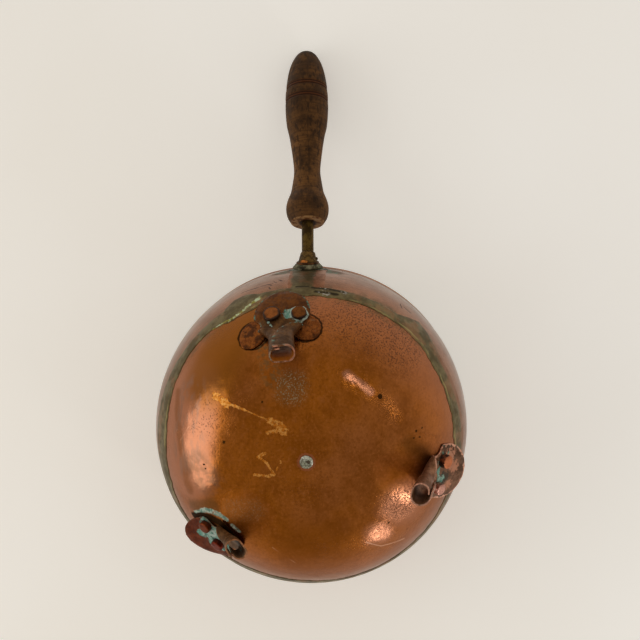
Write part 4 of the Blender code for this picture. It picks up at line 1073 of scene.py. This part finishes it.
def make_plug(material):
    """The base's rivet: a low head with a worn hollow and a pitted middle."""
    outline = rounded([(0, 2.9), (3.4, 2.6), (5.0, 1.8), (5.0, 1.5), (2.5, 1.5), (2.5, -0.3), (4.1, -0.3),
                       (3.9, -0.75), (3.0, -1.45), (1.5, -1.30), (0.9, -0.85), (0, -0.75)], 0.35)
    mesh = turned_mesh("plug", outline, 56, 0.16, 2.2, 4.0)
    add_piece("plug", mesh, "centre_plug", (material,), HERE)


# Feet

def surface_frame(place, normal, azimuth, lean):
    """A frame on the body: Z outwards, Y up the tab, X towards greater azimuths."""
    around = Vector((-math.sin(azimuth), math.cos(azimuth), 0.0))
    up = around.cross(normal)
    up = up if up.z > 0.0 else -up
    tab_up = up * math.cos(lean) + around * math.sin(lean)
    turned = Matrix((tab_up.cross(normal), tab_up, normal)).transposed()
    return Matrix.Translation(place) @ turned.to_4x4()


def tab_place(foot, across, up):
    """Azimuth and height on the body of a point of the tab, measured from between its rivets."""
    lean = math.radians(foot["lean"])
    sideways = across * math.cos(lean) + up * math.sin(lean)
    upwards = up * math.cos(lean) - across * math.sin(lean)
    height = float(height_at(travel_to(foot["row"]) + upwards))
    return math.radians(foot["azimuth"]) + sideways / float(body_radius(height)), height


def patch_place(foot, across, up):
    """A point of the patch, in the part's frame."""
    azimuth, height = tab_place(foot, across, up)
    return body_point(azimuth, height)[0] + AXIS


def foot_seat(foot):
    return FIT + (PATCH_SHEET + FIT if foot["name"] == "front_foot" else 0.0)


def tab_half_width(foot, up):
    share = max(up, 0.0) / foot["rise"]
    return TAB_WIDTH / 2.0 * (1.0 - min(share, 0.985) ** foot["crown"]) ** 0.5


def tab_surface(foot, across, up):
    lift = foot_seat(foot) + foot["top_bend"] * max(up / foot["rise"], 0.0) ** 2
    bent, bent_normal = body_point(*tab_place(foot, across, up), lift)
    azimuth, height = tab_place(foot, across, 0.0)
    level, level_normal = body_point(azimuth, height)
    along_tab = surface_frame(level, level_normal, azimuth, math.radians(foot["lean"])).col[1].to_3d()
    straight = level + level_normal * lift + along_tab * up
    normal = bent_normal.lerp(level_normal, foot["straight"]).normalized()
    return bent.lerp(straight, foot["straight"]), normal


def roll_section(foot, share, half_width, down):
    """Sideways and outward reach of the sheet, a distance down from its rivets."""
    laps_over = share >= 0.0
    narrowing = float(smooth(down / (4.0 * MM))) * math.exp(-((down - 8.0 * MM) / (7.0 * MM)) ** 2)
    half_width -= foot["waist"] * narrowing
    done = float(smooth(down / ROLL_LENGTH))
    flat = (ROLL_FLAT_AT_RIVETS + (foot["flat"] - ROLL_FLAT_AT_RIVETS) * done) / 2.0
    opened = foot["root"] + (1.0 - foot["root"]) * float(smooth(down / (1.6 * ROLL_LENGTH)))
    curl = foot["curl"] * opened
    curl -= 0.0 if laps_over else (FOOT_SHEET + 1.5 * FIT) / 2.0
    closed = foot["flat"] + math.pi * curl + (foot["lap"] if laps_over else -1.5 * FIT)
    width = half_width + (closed - half_width) * float(smooth(down / ROLL_LENGTH - 0.35))
    travel = abs(share) * width
    turn = (travel - flat) / curl
    if turn <= 0.0:
        reach, rise = travel, 0.0
    elif turn <= math.pi:
        reach, rise = flat + curl * math.sin(turn), curl * (1.0 - math.cos(turn))
    else:
        reach, rise = flat - curl * (turn - math.pi), 2.0 * curl
    return (reach if laps_over else -reach), rise


def tab_point(foot, share, up):
    reach, rise = roll_section(foot, share, tab_half_width(foot, up), max(-up, 0.0))
    middle = foot["shift"] + foot["crown_shift"] * (max(up, 0.0) / foot["rise"]) ** 1.5
    point, normal = tab_surface(foot, reach + middle, up)
    return point + normal * rise, normal


def bezier(points, share):
    first, second, third, fourth = points
    rest = 1.0 - share
    place = first * rest ** 3 + second * 3 * rest ** 2 * share
    place += third * 3 * rest * share ** 2 + fourth * share ** 3
    run = (second - first) * rest ** 2 + (third - second) * 2 * rest * share + (fourth - third) * share ** 2
    return place, run.normalized()


def leg_spine(foot, start, down):
    turn = math.radians(foot["tip_azimuth"])
    outward = Vector((math.cos(turn), math.sin(turn), 0.0))
    tip = outward * (foot["tip_radius"] - foot["curl"]) + Vector((0.0, 0.0, -FOOT_CLEARANCE))
    chord = tip - start
    drop = (chord.normalized() + Vector((0.0, 0.0, -0.6))).normalized()
    end = tip + drop * LEG_TRIM
    return start, start + down * foot["bend"], end - drop * chord.length * 0.45, end


def foot_grid(foot, columns=72, tab_rows=26, leg_rows=46):
    """Rows of points of the sheet's underside, how far each is from its edge, and how far on the leg."""
    shares = np.linspace(-1.0, 1.0, columns + 1)
    rises = [foot["rise"] * (1.0 - (row / tab_rows) ** 1.7) for row in range(tab_rows)]
    rises += [-TAB_DROP * row / 5.0 for row in range(6)]
    rows, edges, legs = [], [], []
    for up in rises:
        half = tab_half_width(foot, up)
        rows.append([tab_point(foot, share, up)[0] for share in shares])
        edges.append([min((1.0 - abs(share)) * half, foot["rise"] - up) for share in shares])
        legs.append([float(smooth((2.0 * MM - up) / (9.0 * MM)))] * len(shares))
    start, normal = tab_surface(foot, foot["shift"], -TAB_DROP)
    down = (start - tab_surface(foot, foot["shift"], -TAB_DROP + 1.0 * MM)[0]).normalized()
    across = (tab_surface(foot, foot["shift"] + 1.0 * MM, -TAB_DROP)[0] - start).normalized()
    spine = leg_spine(foot, start, down)
    sections = [roll_section(foot, share, TAB_WIDTH / 2.0, TAB_DROP) for share in shares]
    level = [start + across * reach + normal * rise for reach, rise in sections]
    sag = [point - flat for point, flat in zip(rows[-1], level)]
    travel, before = 0.0, start
    for row in range(1, leg_rows + 1):
        along = (row / leg_rows) ** 1.2
        place, run = bezier(spine, along)
        travel += (place - before).length
        before = place
        sideways = (across - run * across.dot(run)).normalized()
        outward = sideways.cross(run)
        outward = outward if outward.dot(normal) > 0.0 else -outward
        points, edge = [], []
        for share, drop in zip(shares, sag):
            reach, rise = roll_section(foot, share, TAB_WIDTH / 2.0, TAB_DROP + travel)
            point = place + sideways * reach + outward * rise + drop * (1.0 - float(smooth(along / 0.3)))
            points.append(point)
            edge.append(min((1.0 - abs(share)) * 17.0 * MM, max(point.z + FOOT_CLEARANCE, 0.0)))
        rows.append(points)
        edges.append(edge)
        legs.append([1.0] * len(shares))
    return np.array([[tuple(point) for point in row] for row in rows]), np.array(edges), np.array(legs)


def sheet_normals(points):
    """Unit normals of a grid of points, away from the bowl in the middle of the tab."""
    across = np.gradient(points, axis=1)
    down = np.gradient(points, axis=0)
    normals = np.cross(down, across)
    normals /= np.maximum(np.linalg.norm(normals, axis=-1, keepdims=True), 1e-15)
    middle = points.shape[1] // 2
    outward = points[12, middle] * (1.0, 1.0, 0.0)
    return normals if float(normals[12, middle] @ outward) > 0.0 else -normals


def sheet_mesh(name, under, over):
    """A closed sheet between two grids of points."""
    rows, columns = under.shape[:2]
    count = rows * columns
    faces = []
    for row in range(rows - 1):
        for column in range(columns - 1):
            corner = row * columns + column
            quad = (corner, corner + columns, corner + columns + 1, corner + 1)
            faces += [quad, tuple(index + count for index in reversed(quad))]
    rim = list(range(columns))
    rim += [row * columns + columns - 1 for row in range(1, rows)]
    rim += [(rows - 1) * columns + column for column in range(columns - 2, -1, -1)]
    rim += [row * columns for row in range(rows - 2, 0, -1)]
    for first, second in zip(rim, rim[1:] + rim[:1]):
        faces.append((first, second, second + count, first + count))
    mesh = bpy.data.meshes.new(name)
    corners = np.concatenate([under, over]).reshape(-1, 3) + np.array(AXIS)
    mesh.from_pydata(corners.tolist(), [], faces)
    return mesh


def cut_at_floor(mesh):
    shape = bmesh.new()
    shape.from_mesh(mesh)
    cut = bmesh.ops.bisect_plane(shape, geom=[*shape.verts, *shape.edges, *shape.faces], dist=WELD,
                                 plane_co=(0.0, 0.0, 0.05 * MM), plane_no=(0.0, 0.0, -1.0), clear_outer=True)
    loop = [item for item in cut["geom_cut"] if isinstance(item, bmesh.types.BMEdge)]
    bmesh.ops.edgeloop_fill(shape, edges=loop)
    bmesh.ops.recalc_face_normals(shape, faces=shape.faces)
    shape.to_mesh(mesh)
    shape.free()


def with_soft_edges(mesh):
    """A copy of the mesh with its sharp edges rounded a little."""
    draft = bpy.data.objects.new("draft", mesh)
    bpy.context.scene.collection.objects.link(draft)
    edge = draft.modifiers.new("Edge", "BEVEL")
    edge.width = 0.28 * MM
    edge.segments = 3
    edge.limit_method = "ANGLE"
    edge.angle_limit = math.radians(55.0)
    bpy.context.view_layer.update()
    soft = bpy.data.meshes.new_from_object(draft.evaluated_get(bpy.context.evaluated_depsgraph_get()))
    bpy.data.objects.remove(draft)
    return soft


def make_foot(foot, material):
    """The rolled sheet, dented and with worn edges, cut off level at the floor."""
    points, edges, legs = foot_grid(foot)
    seed = foot["azimuth"]
    normals = sheet_normals(points)
    dents = rough(points, 7.0 * MM, seed) * 0.22 * MM + rough(points, 3.0 * MM, seed + 4.0) * 0.07 * MM
    under = points + normals * (dents * (0.35 + 0.65 * legs))[..., None]
    over = under + normals * (FOOT_SHEET * (0.58 + 0.42 * smooth(edges / (3.5 * MM))))[..., None]
    mesh = sheet_mesh(foot["name"], under, over)
    set_attribute(mesh, "edge", np.concatenate([edges, edges]))
    set_attribute(mesh, "leg", np.concatenate([legs, legs]))
    set_attribute(mesh, "within", np.concatenate([legs * 0.0, legs]))
    cut_at_floor(mesh)
    mesh = smooth_faces(with_soft_edges(mesh), 50.0)
    add_piece(foot["name"] + "_sheet", mesh, foot["name"], (material,))


def rivet_frame(foot, side):
    azimuth, height = tab_place(foot, side * foot["spacing"] / 2.0, 0.0)
    place, normal = body_point(azimuth, height)
    return surface_frame(place, normal, azimuth, 0.0)


def rivet_point(foot, side, across=0.0, along=0.0):
    """A point 2 mm over the foot's rivet row, moved across and up the tab by millimetres."""
    return AXIS + rivet_frame(foot, side) @ (Vector((across, along, 2.0)) * MM)


def make_rivet(foot, side, label, material):
    seat = (foot_seat(foot) + FOOT_SHEET + 0.3 * FIT) / MM
    top = (foot_seat(foot) + FOOT_SHEET + 2.0 * FIT + foot["head_height"]) / MM
    inside = (-SHEET - FIT) / MM
    head = foot["head_" + label] / 2.0 / MM
    outline = rounded([
        (0, top), (head * 0.8, top - 0.06), (head * 0.985, top - 0.3), (head, (top + seat) / 2.0),
        (head * 1.02, seat), (2.5, seat), (2.5, inside), (4.4, inside), (3.5, inside - 1.2),
        (1.6, inside - 1.6), (0, inside - 1.7)], 0.32, 5)
    name = f"{foot['name']}_rivet_{label}"
    mesh = turned_mesh(name, outline, 56, 0.14, 3.2, foot["azimuth"] + side)
    add_piece(name + "_fine", mesh, name, (material,), rivet_frame(foot, side))


def ragged_round(turns, size, seed):
    """How far an outline strays at each turn, about -1 to 1."""
    places = [(math.cos(turn) * size, math.sin(turn) * size, seed) for turn in turns]
    return np.array([noise.noise(Vector(place)) for place in places])


def make_patch(foot, material):
    """The lobed patch: fan rows out from each lobe's middle, following the bowl."""
    lobes = [((-3.5 * MM, 3.0 * MM), 15.0 * MM)]
    lobes += [(middle, 9.0 * MM) for middle in PATCH_LOBES]
    rings = ((0.0, 0.0), (0.3, 0.0), (0.6, 0.0), (0.85, 0.0), (0.95, -0.03), (0.985, -0.12), (1.0, -0.35),
             (1.0, -0.95))
    parts = []
    for number, ((across, up), radius) in enumerate(lobes):
        turns = np.linspace(0.0, TURN, 120, endpoint=False)
        reach = radius + ragged_round(turns, 2.0, number * 5.0) * 0.45 * MM - 0.2 * MM
        rows = []
        for share, drop in rings:
            row = []
            for turn, far in zip(turns, reach):
                sideways, upwards = math.cos(turn) * far * share, math.sin(turn) * far * share
                azimuth, height = tab_place(foot, across + sideways, up + upwards)
                row.append(on_body(azimuth, height, FIT + PATCH_SHEET + (drop - 0.006 * number) * MM))
            rows.append(row)
        points = np.array(rows)
        points[0] = points[0].mean(axis=0)
        parts.append((finish_mesh(grid_mesh(f"lobe_{number}", points)), HERE))
    add_piece("front_patch", join_meshes("patch", parts), "front_foot_patch", (material,))


# Handle

def handle_frame():
    bend = Vector((float(body_radius(HANDLE_HEIGHT)) + SPIGOT_REACH, 0.0, HANDLE_HEIGHT))
    return Matrix.Translation(bend) @ Matrix.Rotation(math.pi / 2.0 - HANDLE_RAKE, 4, "Y")


def wall_frame():
    place = Vector((float(body_radius(HANDLE_HEIGHT)), 0.0, HANDLE_HEIGHT))
    return Matrix.Translation(place) @ Matrix.Rotation(math.pi / 2.0, 4, "Y")


def wall_pad(name, width, height, outer, inner, seed):
    """An oval pad that follows the wall, thinned out to a ragged edge."""
    turns = np.linspace(0.0, TURN, 96, endpoint=False)
    shares = np.concatenate([np.linspace(0.0, 0.9, 10), [0.96, 1.0]])[:, None]
    reach = shares * (1.0 + 0.06 * ragged_round(turns, 2.2, seed) - 0.04)
    across = reach * np.cos(turns) * width / 2.0
    heights = HANDLE_HEIGHT + reach * np.sin(turns) * height / 2.0
    azimuths = np.arcsin(across / body_radius(heights))
    grid = on_body(azimuths, heights)
    lift = (outer - inner) * np.sqrt(np.clip(1.0 - shares ** 3, 0.0, 1.0)) + inner
    lift = lift + rough(grid, 3 * MM, seed) * 0.08 * MM * (shares < 1.0)
    top = on_body(azimuths, heights, lift)
    back = on_body(azimuths, heights, inner + 0.0 * lift)
    top[0], back[0] = top[0].mean(axis=0), back[0].mean(axis=0)
    return finish_mesh(grid_mesh(name, np.concatenate([top, back[::-1]])))


def make_handle_seat(solder, flange, washer, collar):
    pad = wall_pad("pad", 27.0 * MM, 19.0 * MM, 1.0 * MM, -0.1 * MM, 3.0)
    add_piece("solder_pad", pad, "handle_solder", (solder,))
    low, top = 0.5, 2.0 * FIT / MM + 0.7 + 2.2
    outline = rounded([(0, top), (7.7, top), (8.1, top - 0.5), (9.6, low + 0.9), (9.75, low + 0.4),
                       (9.5, low), (0, low)], 0.4)
    mesh = turned_mesh("flange", outline, 72, 0.22, 5.0, 2.0)
    add_piece("flange", mesh, "handle_flange", (flange,), wall_frame())
    low, top = top + 0.05, top + FIT / MM + 0.9
    outline = rounded([(0, top), (7.2, top), (7.45, low), (0, low)], 0.35)
    mesh = turned_mesh("washer", outline, 64, 0.18, 4.0, 5.0)
    add_piece("washer", mesh, "handle_washer", (washer,), wall_frame())
    outline = rounded([(0, 8.9), (4.2, 8.9), (4.75, 8.4), (5.4, 6.0), (6.0, 3.4), (6.7, 1.0), (6.0, -0.6),
                       (0, -1.2)], 0.5)
    cone = turned_mesh("collar_cone", outline, 64, 0.30, 4.0, 8.0)
    outline = rounded([(0, 1.2), (1.3, 0.7), (1.7, -0.4), (0.9, -1.3), (0, -1.5)], 0.5)
    lump = turned_mesh("collar_lump", outline, 28, 0.30, 1.6, 11.0)
    lump_place = Matrix.Translation((0.5 * MM, 5.0 * MM, 4.6 * MM))
    mesh = join_meshes("collar", [(cone, HERE), (lump, lump_place)])
    add_piece("collar", mesh, "handle_collar", (collar,), handle_frame())


def make_rod(material):
    """The rod up into the grip, with its bend at the wall and its peened end inside."""
    shaft = [(0.0, -3.0 * MM), (2.6 * MM, -2.6 * MM), (ROD_RADIUS, -1.0 * MM)]
    shaft += [(ROD_RADIUS, value * MM) for value in np.linspace(1.0, 33.0, 17)]
    rod = turned_mesh("shaft", shaft + [(0.0, 34.0 * MM)], 48, 0.08, 7.0, 1.0)
    inside = (-SHEET - 2.0 * FIT) / MM - 1.2
    outline = rounded([(0, 2.0), (3.0, 1.6), (3.0, inside), (5.2, inside), (4.4, inside - 1.3),
                       (2.2, inside - 2.0), (0, inside - 2.2)], 0.4)
    peen = turned_mesh("peen", outline, 48, 0.16, 3.5, 6.0)
    to_rod = handle_frame().inverted() @ wall_frame()
    mesh = join_meshes("rod", [(rod, HERE), (peen, to_rod)])
    add_piece("rod", mesh, "handle_tang", (material,), handle_frame())


def make_inner_washer(material):
    mesh = wall_pad("inner", 16.0 * MM, 16.0 * MM, -SHEET - FIT, -SHEET - FIT - 1.2 * MM, 8.0)
    add_piece("washer_inside", mesh, "inner_washer", (material,))


def grip_radius(distance):
    """Radius of the turned grip, by a smooth curve through its stations."""
    stations = [(place * MM, diameter * MM) for place, diameter in GRIP_STATIONS]
    last = len(stations) - 2
    index = max(i for i in range(last + 1) if distance >= stations[i][0] or i == 0)
    before, start = stations[max(index - 1, 0)], stations[index]
    end, after = stations[index + 1], stations[min(index + 2, last + 1)]
    span = end[0] - start[0]
    share = (distance - start[0]) / span
    slope_in = (end[1] - before[1]) / (end[0] - before[0]) * span
    slope_out = (after[1] - start[1]) / (after[0] - start[0]) * span
    square, cube = share ** 2, share ** 3
    diameter = (start[1] * (2 * cube - 3 * square + 1) + slope_in * (cube - 2 * square + share)
                + end[1] * (3 * square - 2 * cube) + slope_out * (cube - square))
    return max(diameter / 2.0, 0.0)


def make_grip(material):
    rest = 1.0 - np.linspace(0.0, 1.0, 22)[1:]
    even = np.linspace(1.0 * MM, GRIP_LENGTH - 6.0 * MM, 220)
    distances = np.concatenate([[0.0, 0.25 * MM, 0.6 * MM], even, GRIP_LENGTH - 6.0 * MM * rest ** 2])
    cuts = [groove + side * CUT_BESIDE_GROOVE for groove in GROOVES for side in (-1.0, 1.0)]
    outline = [(0.0, 0.35 * MM), (4.5 * MM, 0.30 * MM), (9.0 * MM, 0.06 * MM)]
    for distance in distances:
        radius = grip_radius(float(distance)) * 0.992 - 0.10 * MM
        radius -= 0.35 * MM * max(1.0 - distance / (0.6 * MM), 0.0) ** 2
        for cut in cuts:
            radius -= 0.60 * MM * float(np.exp(-((distance - cut) / (0.55 * MM)) ** 2))
        outline.append((max(radius, 0.0), float(distance) - TIP_TRIM * (distance > TIP_START)))
    outline[-1] = (0.0, outline[-1][1])
    mesh = turned_mesh("grip", outline, 112, 0.10, 11.0, 3.0)
    place = handle_frame() @ Matrix.Translation((0.0, 0.0, GRIP_START))
    add_piece("grip", mesh, "wooden_grip", (material,), place)


def build_body():
    tin = tin_coat()
    make_bowl(bowl_coat(), tin)
    make_wall(wall_coat(), tin)
    make_seam(braze_coat("seam_braze"))
    make_side_seam(braze_coat("side_seam_braze", strip=True))
    pit = (AXIS + Vector((0.2, 1.2, -1.0)) * MM, 1.9, (0.085, 0.060, 0.032))
    make_plug(rust_coat("plug_metal", "DEE0CE", "B0B29A", "5A523C", green=0.20, metal=0.5, bright=pit))


def build_feet():
    front, right, left = FEET
    make_foot(front, front_foot_coat(front))
    make_foot(right, right_foot_coat(right))
    make_foot(left, left_foot_coat(left))
    make_patch(front, rust_coat("patch_copper", "9E5A22", "86481A", "4E2A10", green=0.10, metal=0.85))
    coats = {
        "front_foot": (rivet_coat("rivet_orange", "8C5228", "3E2410", 0.25),
                       rivet_coat("rivet_rust", "70421E", "331A0C", 0.4)),
        "right_foot": (rivet_coat("rivet_worn", "BE7048", "2E1A10", 0.25),
                       rivet_coat("rivet_pink", "CC9482", "5A2E22", 0.7)),
        "left_foot": (rivet_coat("rivet_dark_red", "702612", "2E0E06", 0.3, slit=True),
                      rivet_coat("rivet_dark", "6E3216", "30140A", 0.3)),
    }
    for foot in FEET:
        for side, label, coat in zip((-1.0, 1.0), "ab", coats[foot["name"]]):
            make_rivet(foot, side, label, coat)


def build_handle():
    seat = AXIS + Vector((0.1, 0.0, HANDLE_HEIGHT))
    # painted highlights: bright orange spots on the lower sides of the washer and the collar
    washer_highlight = (seat + Vector((-1.0, -4.5, -5.0)) * MM, 6.0, (0.72, 0.25, 0.055))
    collar_highlight = (seat + Vector((3.5, -3.0, -6.5)) * MM, 5.0, (0.66, 0.22, 0.045))
    make_handle_seat(
        rust_coat("old_solder", "8C8C7C", "4E564A", "23261E", green=0.7, metal=0.6),
        rust_coat("flange_brass", "8A8468", "4E4830", "201C12", green=0.3, metal=0.85),
        rust_coat("washer_copper", "6A4424", "4A2E16", "2C1A0C", green=0.05, metal=0.9, bright=washer_highlight),
        rust_coat("collar_brass", "7A5C2E", "54401E", "2A1A0A", green=0.10, metal=0.85, bright=collar_highlight))
    make_rod(rust_coat("rod_brass", "6A5220", "533E16", "35240C", green=0.02, metal=0.85))
    make_inner_washer(rust_coat("washer_inside_copper", "A06A45", "7C4C2E", "4A2E1C", green=0.1, metal=0.85))
    make_grip(wood_coat())


# Camera, light and ground

LAMPS_AROUND = Vector((-0.06, 0.0, 0.05))
LAMP_DISTANCE = 1.1
PAPER = (0.90, 0.865, 0.80)
FLOOR_LIFT = 0.1
TABLE_LIFT = 0.35
TABLE_MIRRORED = 0.12
FLOOR_HALF = 3.0
TABLE_HALF = 0.28
TABLE_MIDDLE = Vector((-0.014, 0.002, 0.0))
TABLE_LEAN = Vector((-0.182, 0.0, 0.983)).normalized()


def make_camera():
    """From below and in front of the feet, as the photograph sees the pan lying on its rim."""
    data = bpy.data.cameras.new("camera")
    data.sensor_width = 36.0
    data.lens = 75.375
    data.shift_x = 0.00625
    data.shift_y = 0.0039
    data.clip_start = 0.01
    camera = bpy.data.objects.new("camera", data)
    bpy.context.scene.collection.objects.link(camera)
    ahead = Vector((-0.18268, -0.03733, 0.98246)).normalized()
    up = Vector((0.98277, 0.02185, 0.18356))
    up = (up - ahead * up.dot(ahead)).normalized()
    side = ahead.cross(up)
    turn = Matrix((side, up, -ahead)).transposed().to_4x4()
    camera.matrix_world = Matrix.Translation((0.1540, 0.0367, -0.74036)) @ turn
    bpy.context.scene.camera = camera


def add_lamp(name, direction, along, length, width, radiance, colour=(1.0, 1.0, 1.0), oval=False):
    """A soft lamp that faces the pan, its length along a direction, at a brightness per area."""
    data = bpy.data.lights.new(name, "AREA")
    data.shape = "ELLIPSE" if oval else "RECTANGLE"
    data.size = length
    data.size_y = width
    data.energy = radiance * math.pi * length * width * (math.pi / 4.0 if oval else 1.0)
    data.color = colour
    lamp = bpy.data.objects.new(name, data)
    bpy.context.scene.collection.objects.link(lamp)
    back = Vector(direction).normalized()
    side = Vector(along)
    side = (side - back * side.dot(back)).normalized()
    turn = Matrix((side, back.cross(side), back)).transposed().to_4x4()
    lamp.matrix_world = Matrix.Translation(LAMPS_AROUND + back * LAMP_DISTANCE) @ turn
    lamp.visible_camera = False


def make_world():
    """A warm grey sky, brighter from above."""
    world = bpy.data.worlds.new("studio")
    bpy.context.scene.world = world
    world.use_nodes = True
    nodes, links = world.node_tree.nodes, world.node_tree.links
    background = nodes["Background"]
    heading = nodes.new("ShaderNodeTexCoord")
    axes = nodes.new("ShaderNodeSeparateXYZ")
    fade = nodes.new("ShaderNodeMapRange")
    fade.interpolation_type = "SMOOTHSTEP"
    for key, value in (("From Min", -0.75), ("From Max", 0.15), ("To Min", 0.0), ("To Max", 1.0)):
        fade.inputs[key].default_value = value
    mix = nodes.new("ShaderNodeMix")
    mix.data_type = "RGBA"
    mix.inputs[6].default_value = (0.47, 0.44, 0.40, 1.0)
    mix.inputs[7].default_value = (0.74, 0.70, 0.64, 1.0)
    links.new(heading.outputs["Generated"], axes.inputs[0])
    links.new(axes.outputs["Z"], fade.inputs["Value"])
    links.new(fade.outputs["Result"], mix.inputs[0])
    links.new(mix.outputs[2], background.inputs["Color"])
    background.inputs["Strength"].default_value = 0.85


def make_lamps():
    """The windows and gaps that the copper mirrors, and soft light from above.

    Each lamp: where it stands from the pan, the run of its length, length, width and radiance.
    """
    cool = (0.93, 0.97, 1.0)
    add_lamp("window_left", (-0.08, -0.88, -0.35), (0.80, -0.05, -0.34), 1.20, 0.66, 1.34, cool, oval=True)
    add_lamp("gap_right", (0.38, 0.47, -0.775), (0.24, -0.26, -0.05), 0.36, 0.03, 4.2, cool)
    add_lamp("gap_right_low", (0.15, 0.73, -0.67), (0.2, -0.1, 0.0), 0.12, 0.03, 6.0, cool)
    add_lamp("window_right", (-0.60, 0.72, -0.32), (0.0, 0.2, 1.0), 0.34, 0.16, 6.5, cool)
    add_lamp("window_behind", (-0.84, 0.45, -0.18), (0.0, 0.0, 1.0), 0.16, 0.10, 6.0, cool)
    add_lamp("soft_above", (-0.10, -0.12, 1.0), (1.0, 0.0, 0.0), 0.50, 0.50, 2.2)
    add_lamp("soft_above_side", (0.8, -0.9, 1.1), (1.0, 1.0, 0.0), 0.50, 0.40, 1.0)


def add_plane(name, place, normal, up, half, material):
    normal, up = Vector(normal).normalized(), Vector(up)
    up = (up - normal * up.dot(normal)).normalized()
    side = up.cross(normal)
    signs = ((-1, -1), (1, -1), (1, 1), (-1, 1))
    corners = [Vector(place) + side * a * half + up * b * half for a, b in signs]
    mesh = bpy.data.meshes.new(name)
    mesh.from_pydata([tuple(corner) for corner in corners], [], [(0, 1, 2, 3)])
    mesh.update()
    if mesh.polygons[0].normal.dot(normal) < 0.0:
        mesh.flip_normals()
    mesh.materials.append(material)
    plane = bpy.data.objects.new(name, mesh)
    bpy.context.scene.collection.objects.link(plane)
    plane.visible_shadow = False
    plane.visible_diffuse = False
    plane.visible_transmission = False
    return plane


def make_ground():
    """A floor under the feet, seen from above, and the table that the upturned pan rests on, from below."""
    paper = ground_coat("floor_paper", PAPER, FLOOR_LIFT)
    floor = add_plane("floor", (0.0, 0.0, -0.2 * MM), (0, 0, 1), (0, 1, 0), FLOOR_HALF, paper)
    floor.visible_glossy = False
    nodes = [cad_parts[name] for name in ("wooden_grip", "side_wall")]
    reach = max(vertex.co.dot(TABLE_LEAN) for node in nodes for vertex in node.data.vertices)
    middle = TABLE_MIDDLE + TABLE_LEAN * (reach + 0.4 * MM - TABLE_MIDDLE.dot(TABLE_LEAN))
    paper = ground_coat("table_paper", PAPER, TABLE_LIFT, TABLE_MIRRORED)
    add_plane("table", middle, -TABLE_LEAN, (1, 0, 0), TABLE_HALF, paper)


build_body()
build_feet()
build_handle()
make_camera()
make_world()
make_lamps()
make_ground()
bpy.context.scene.view_settings.view_transform = "Standard"
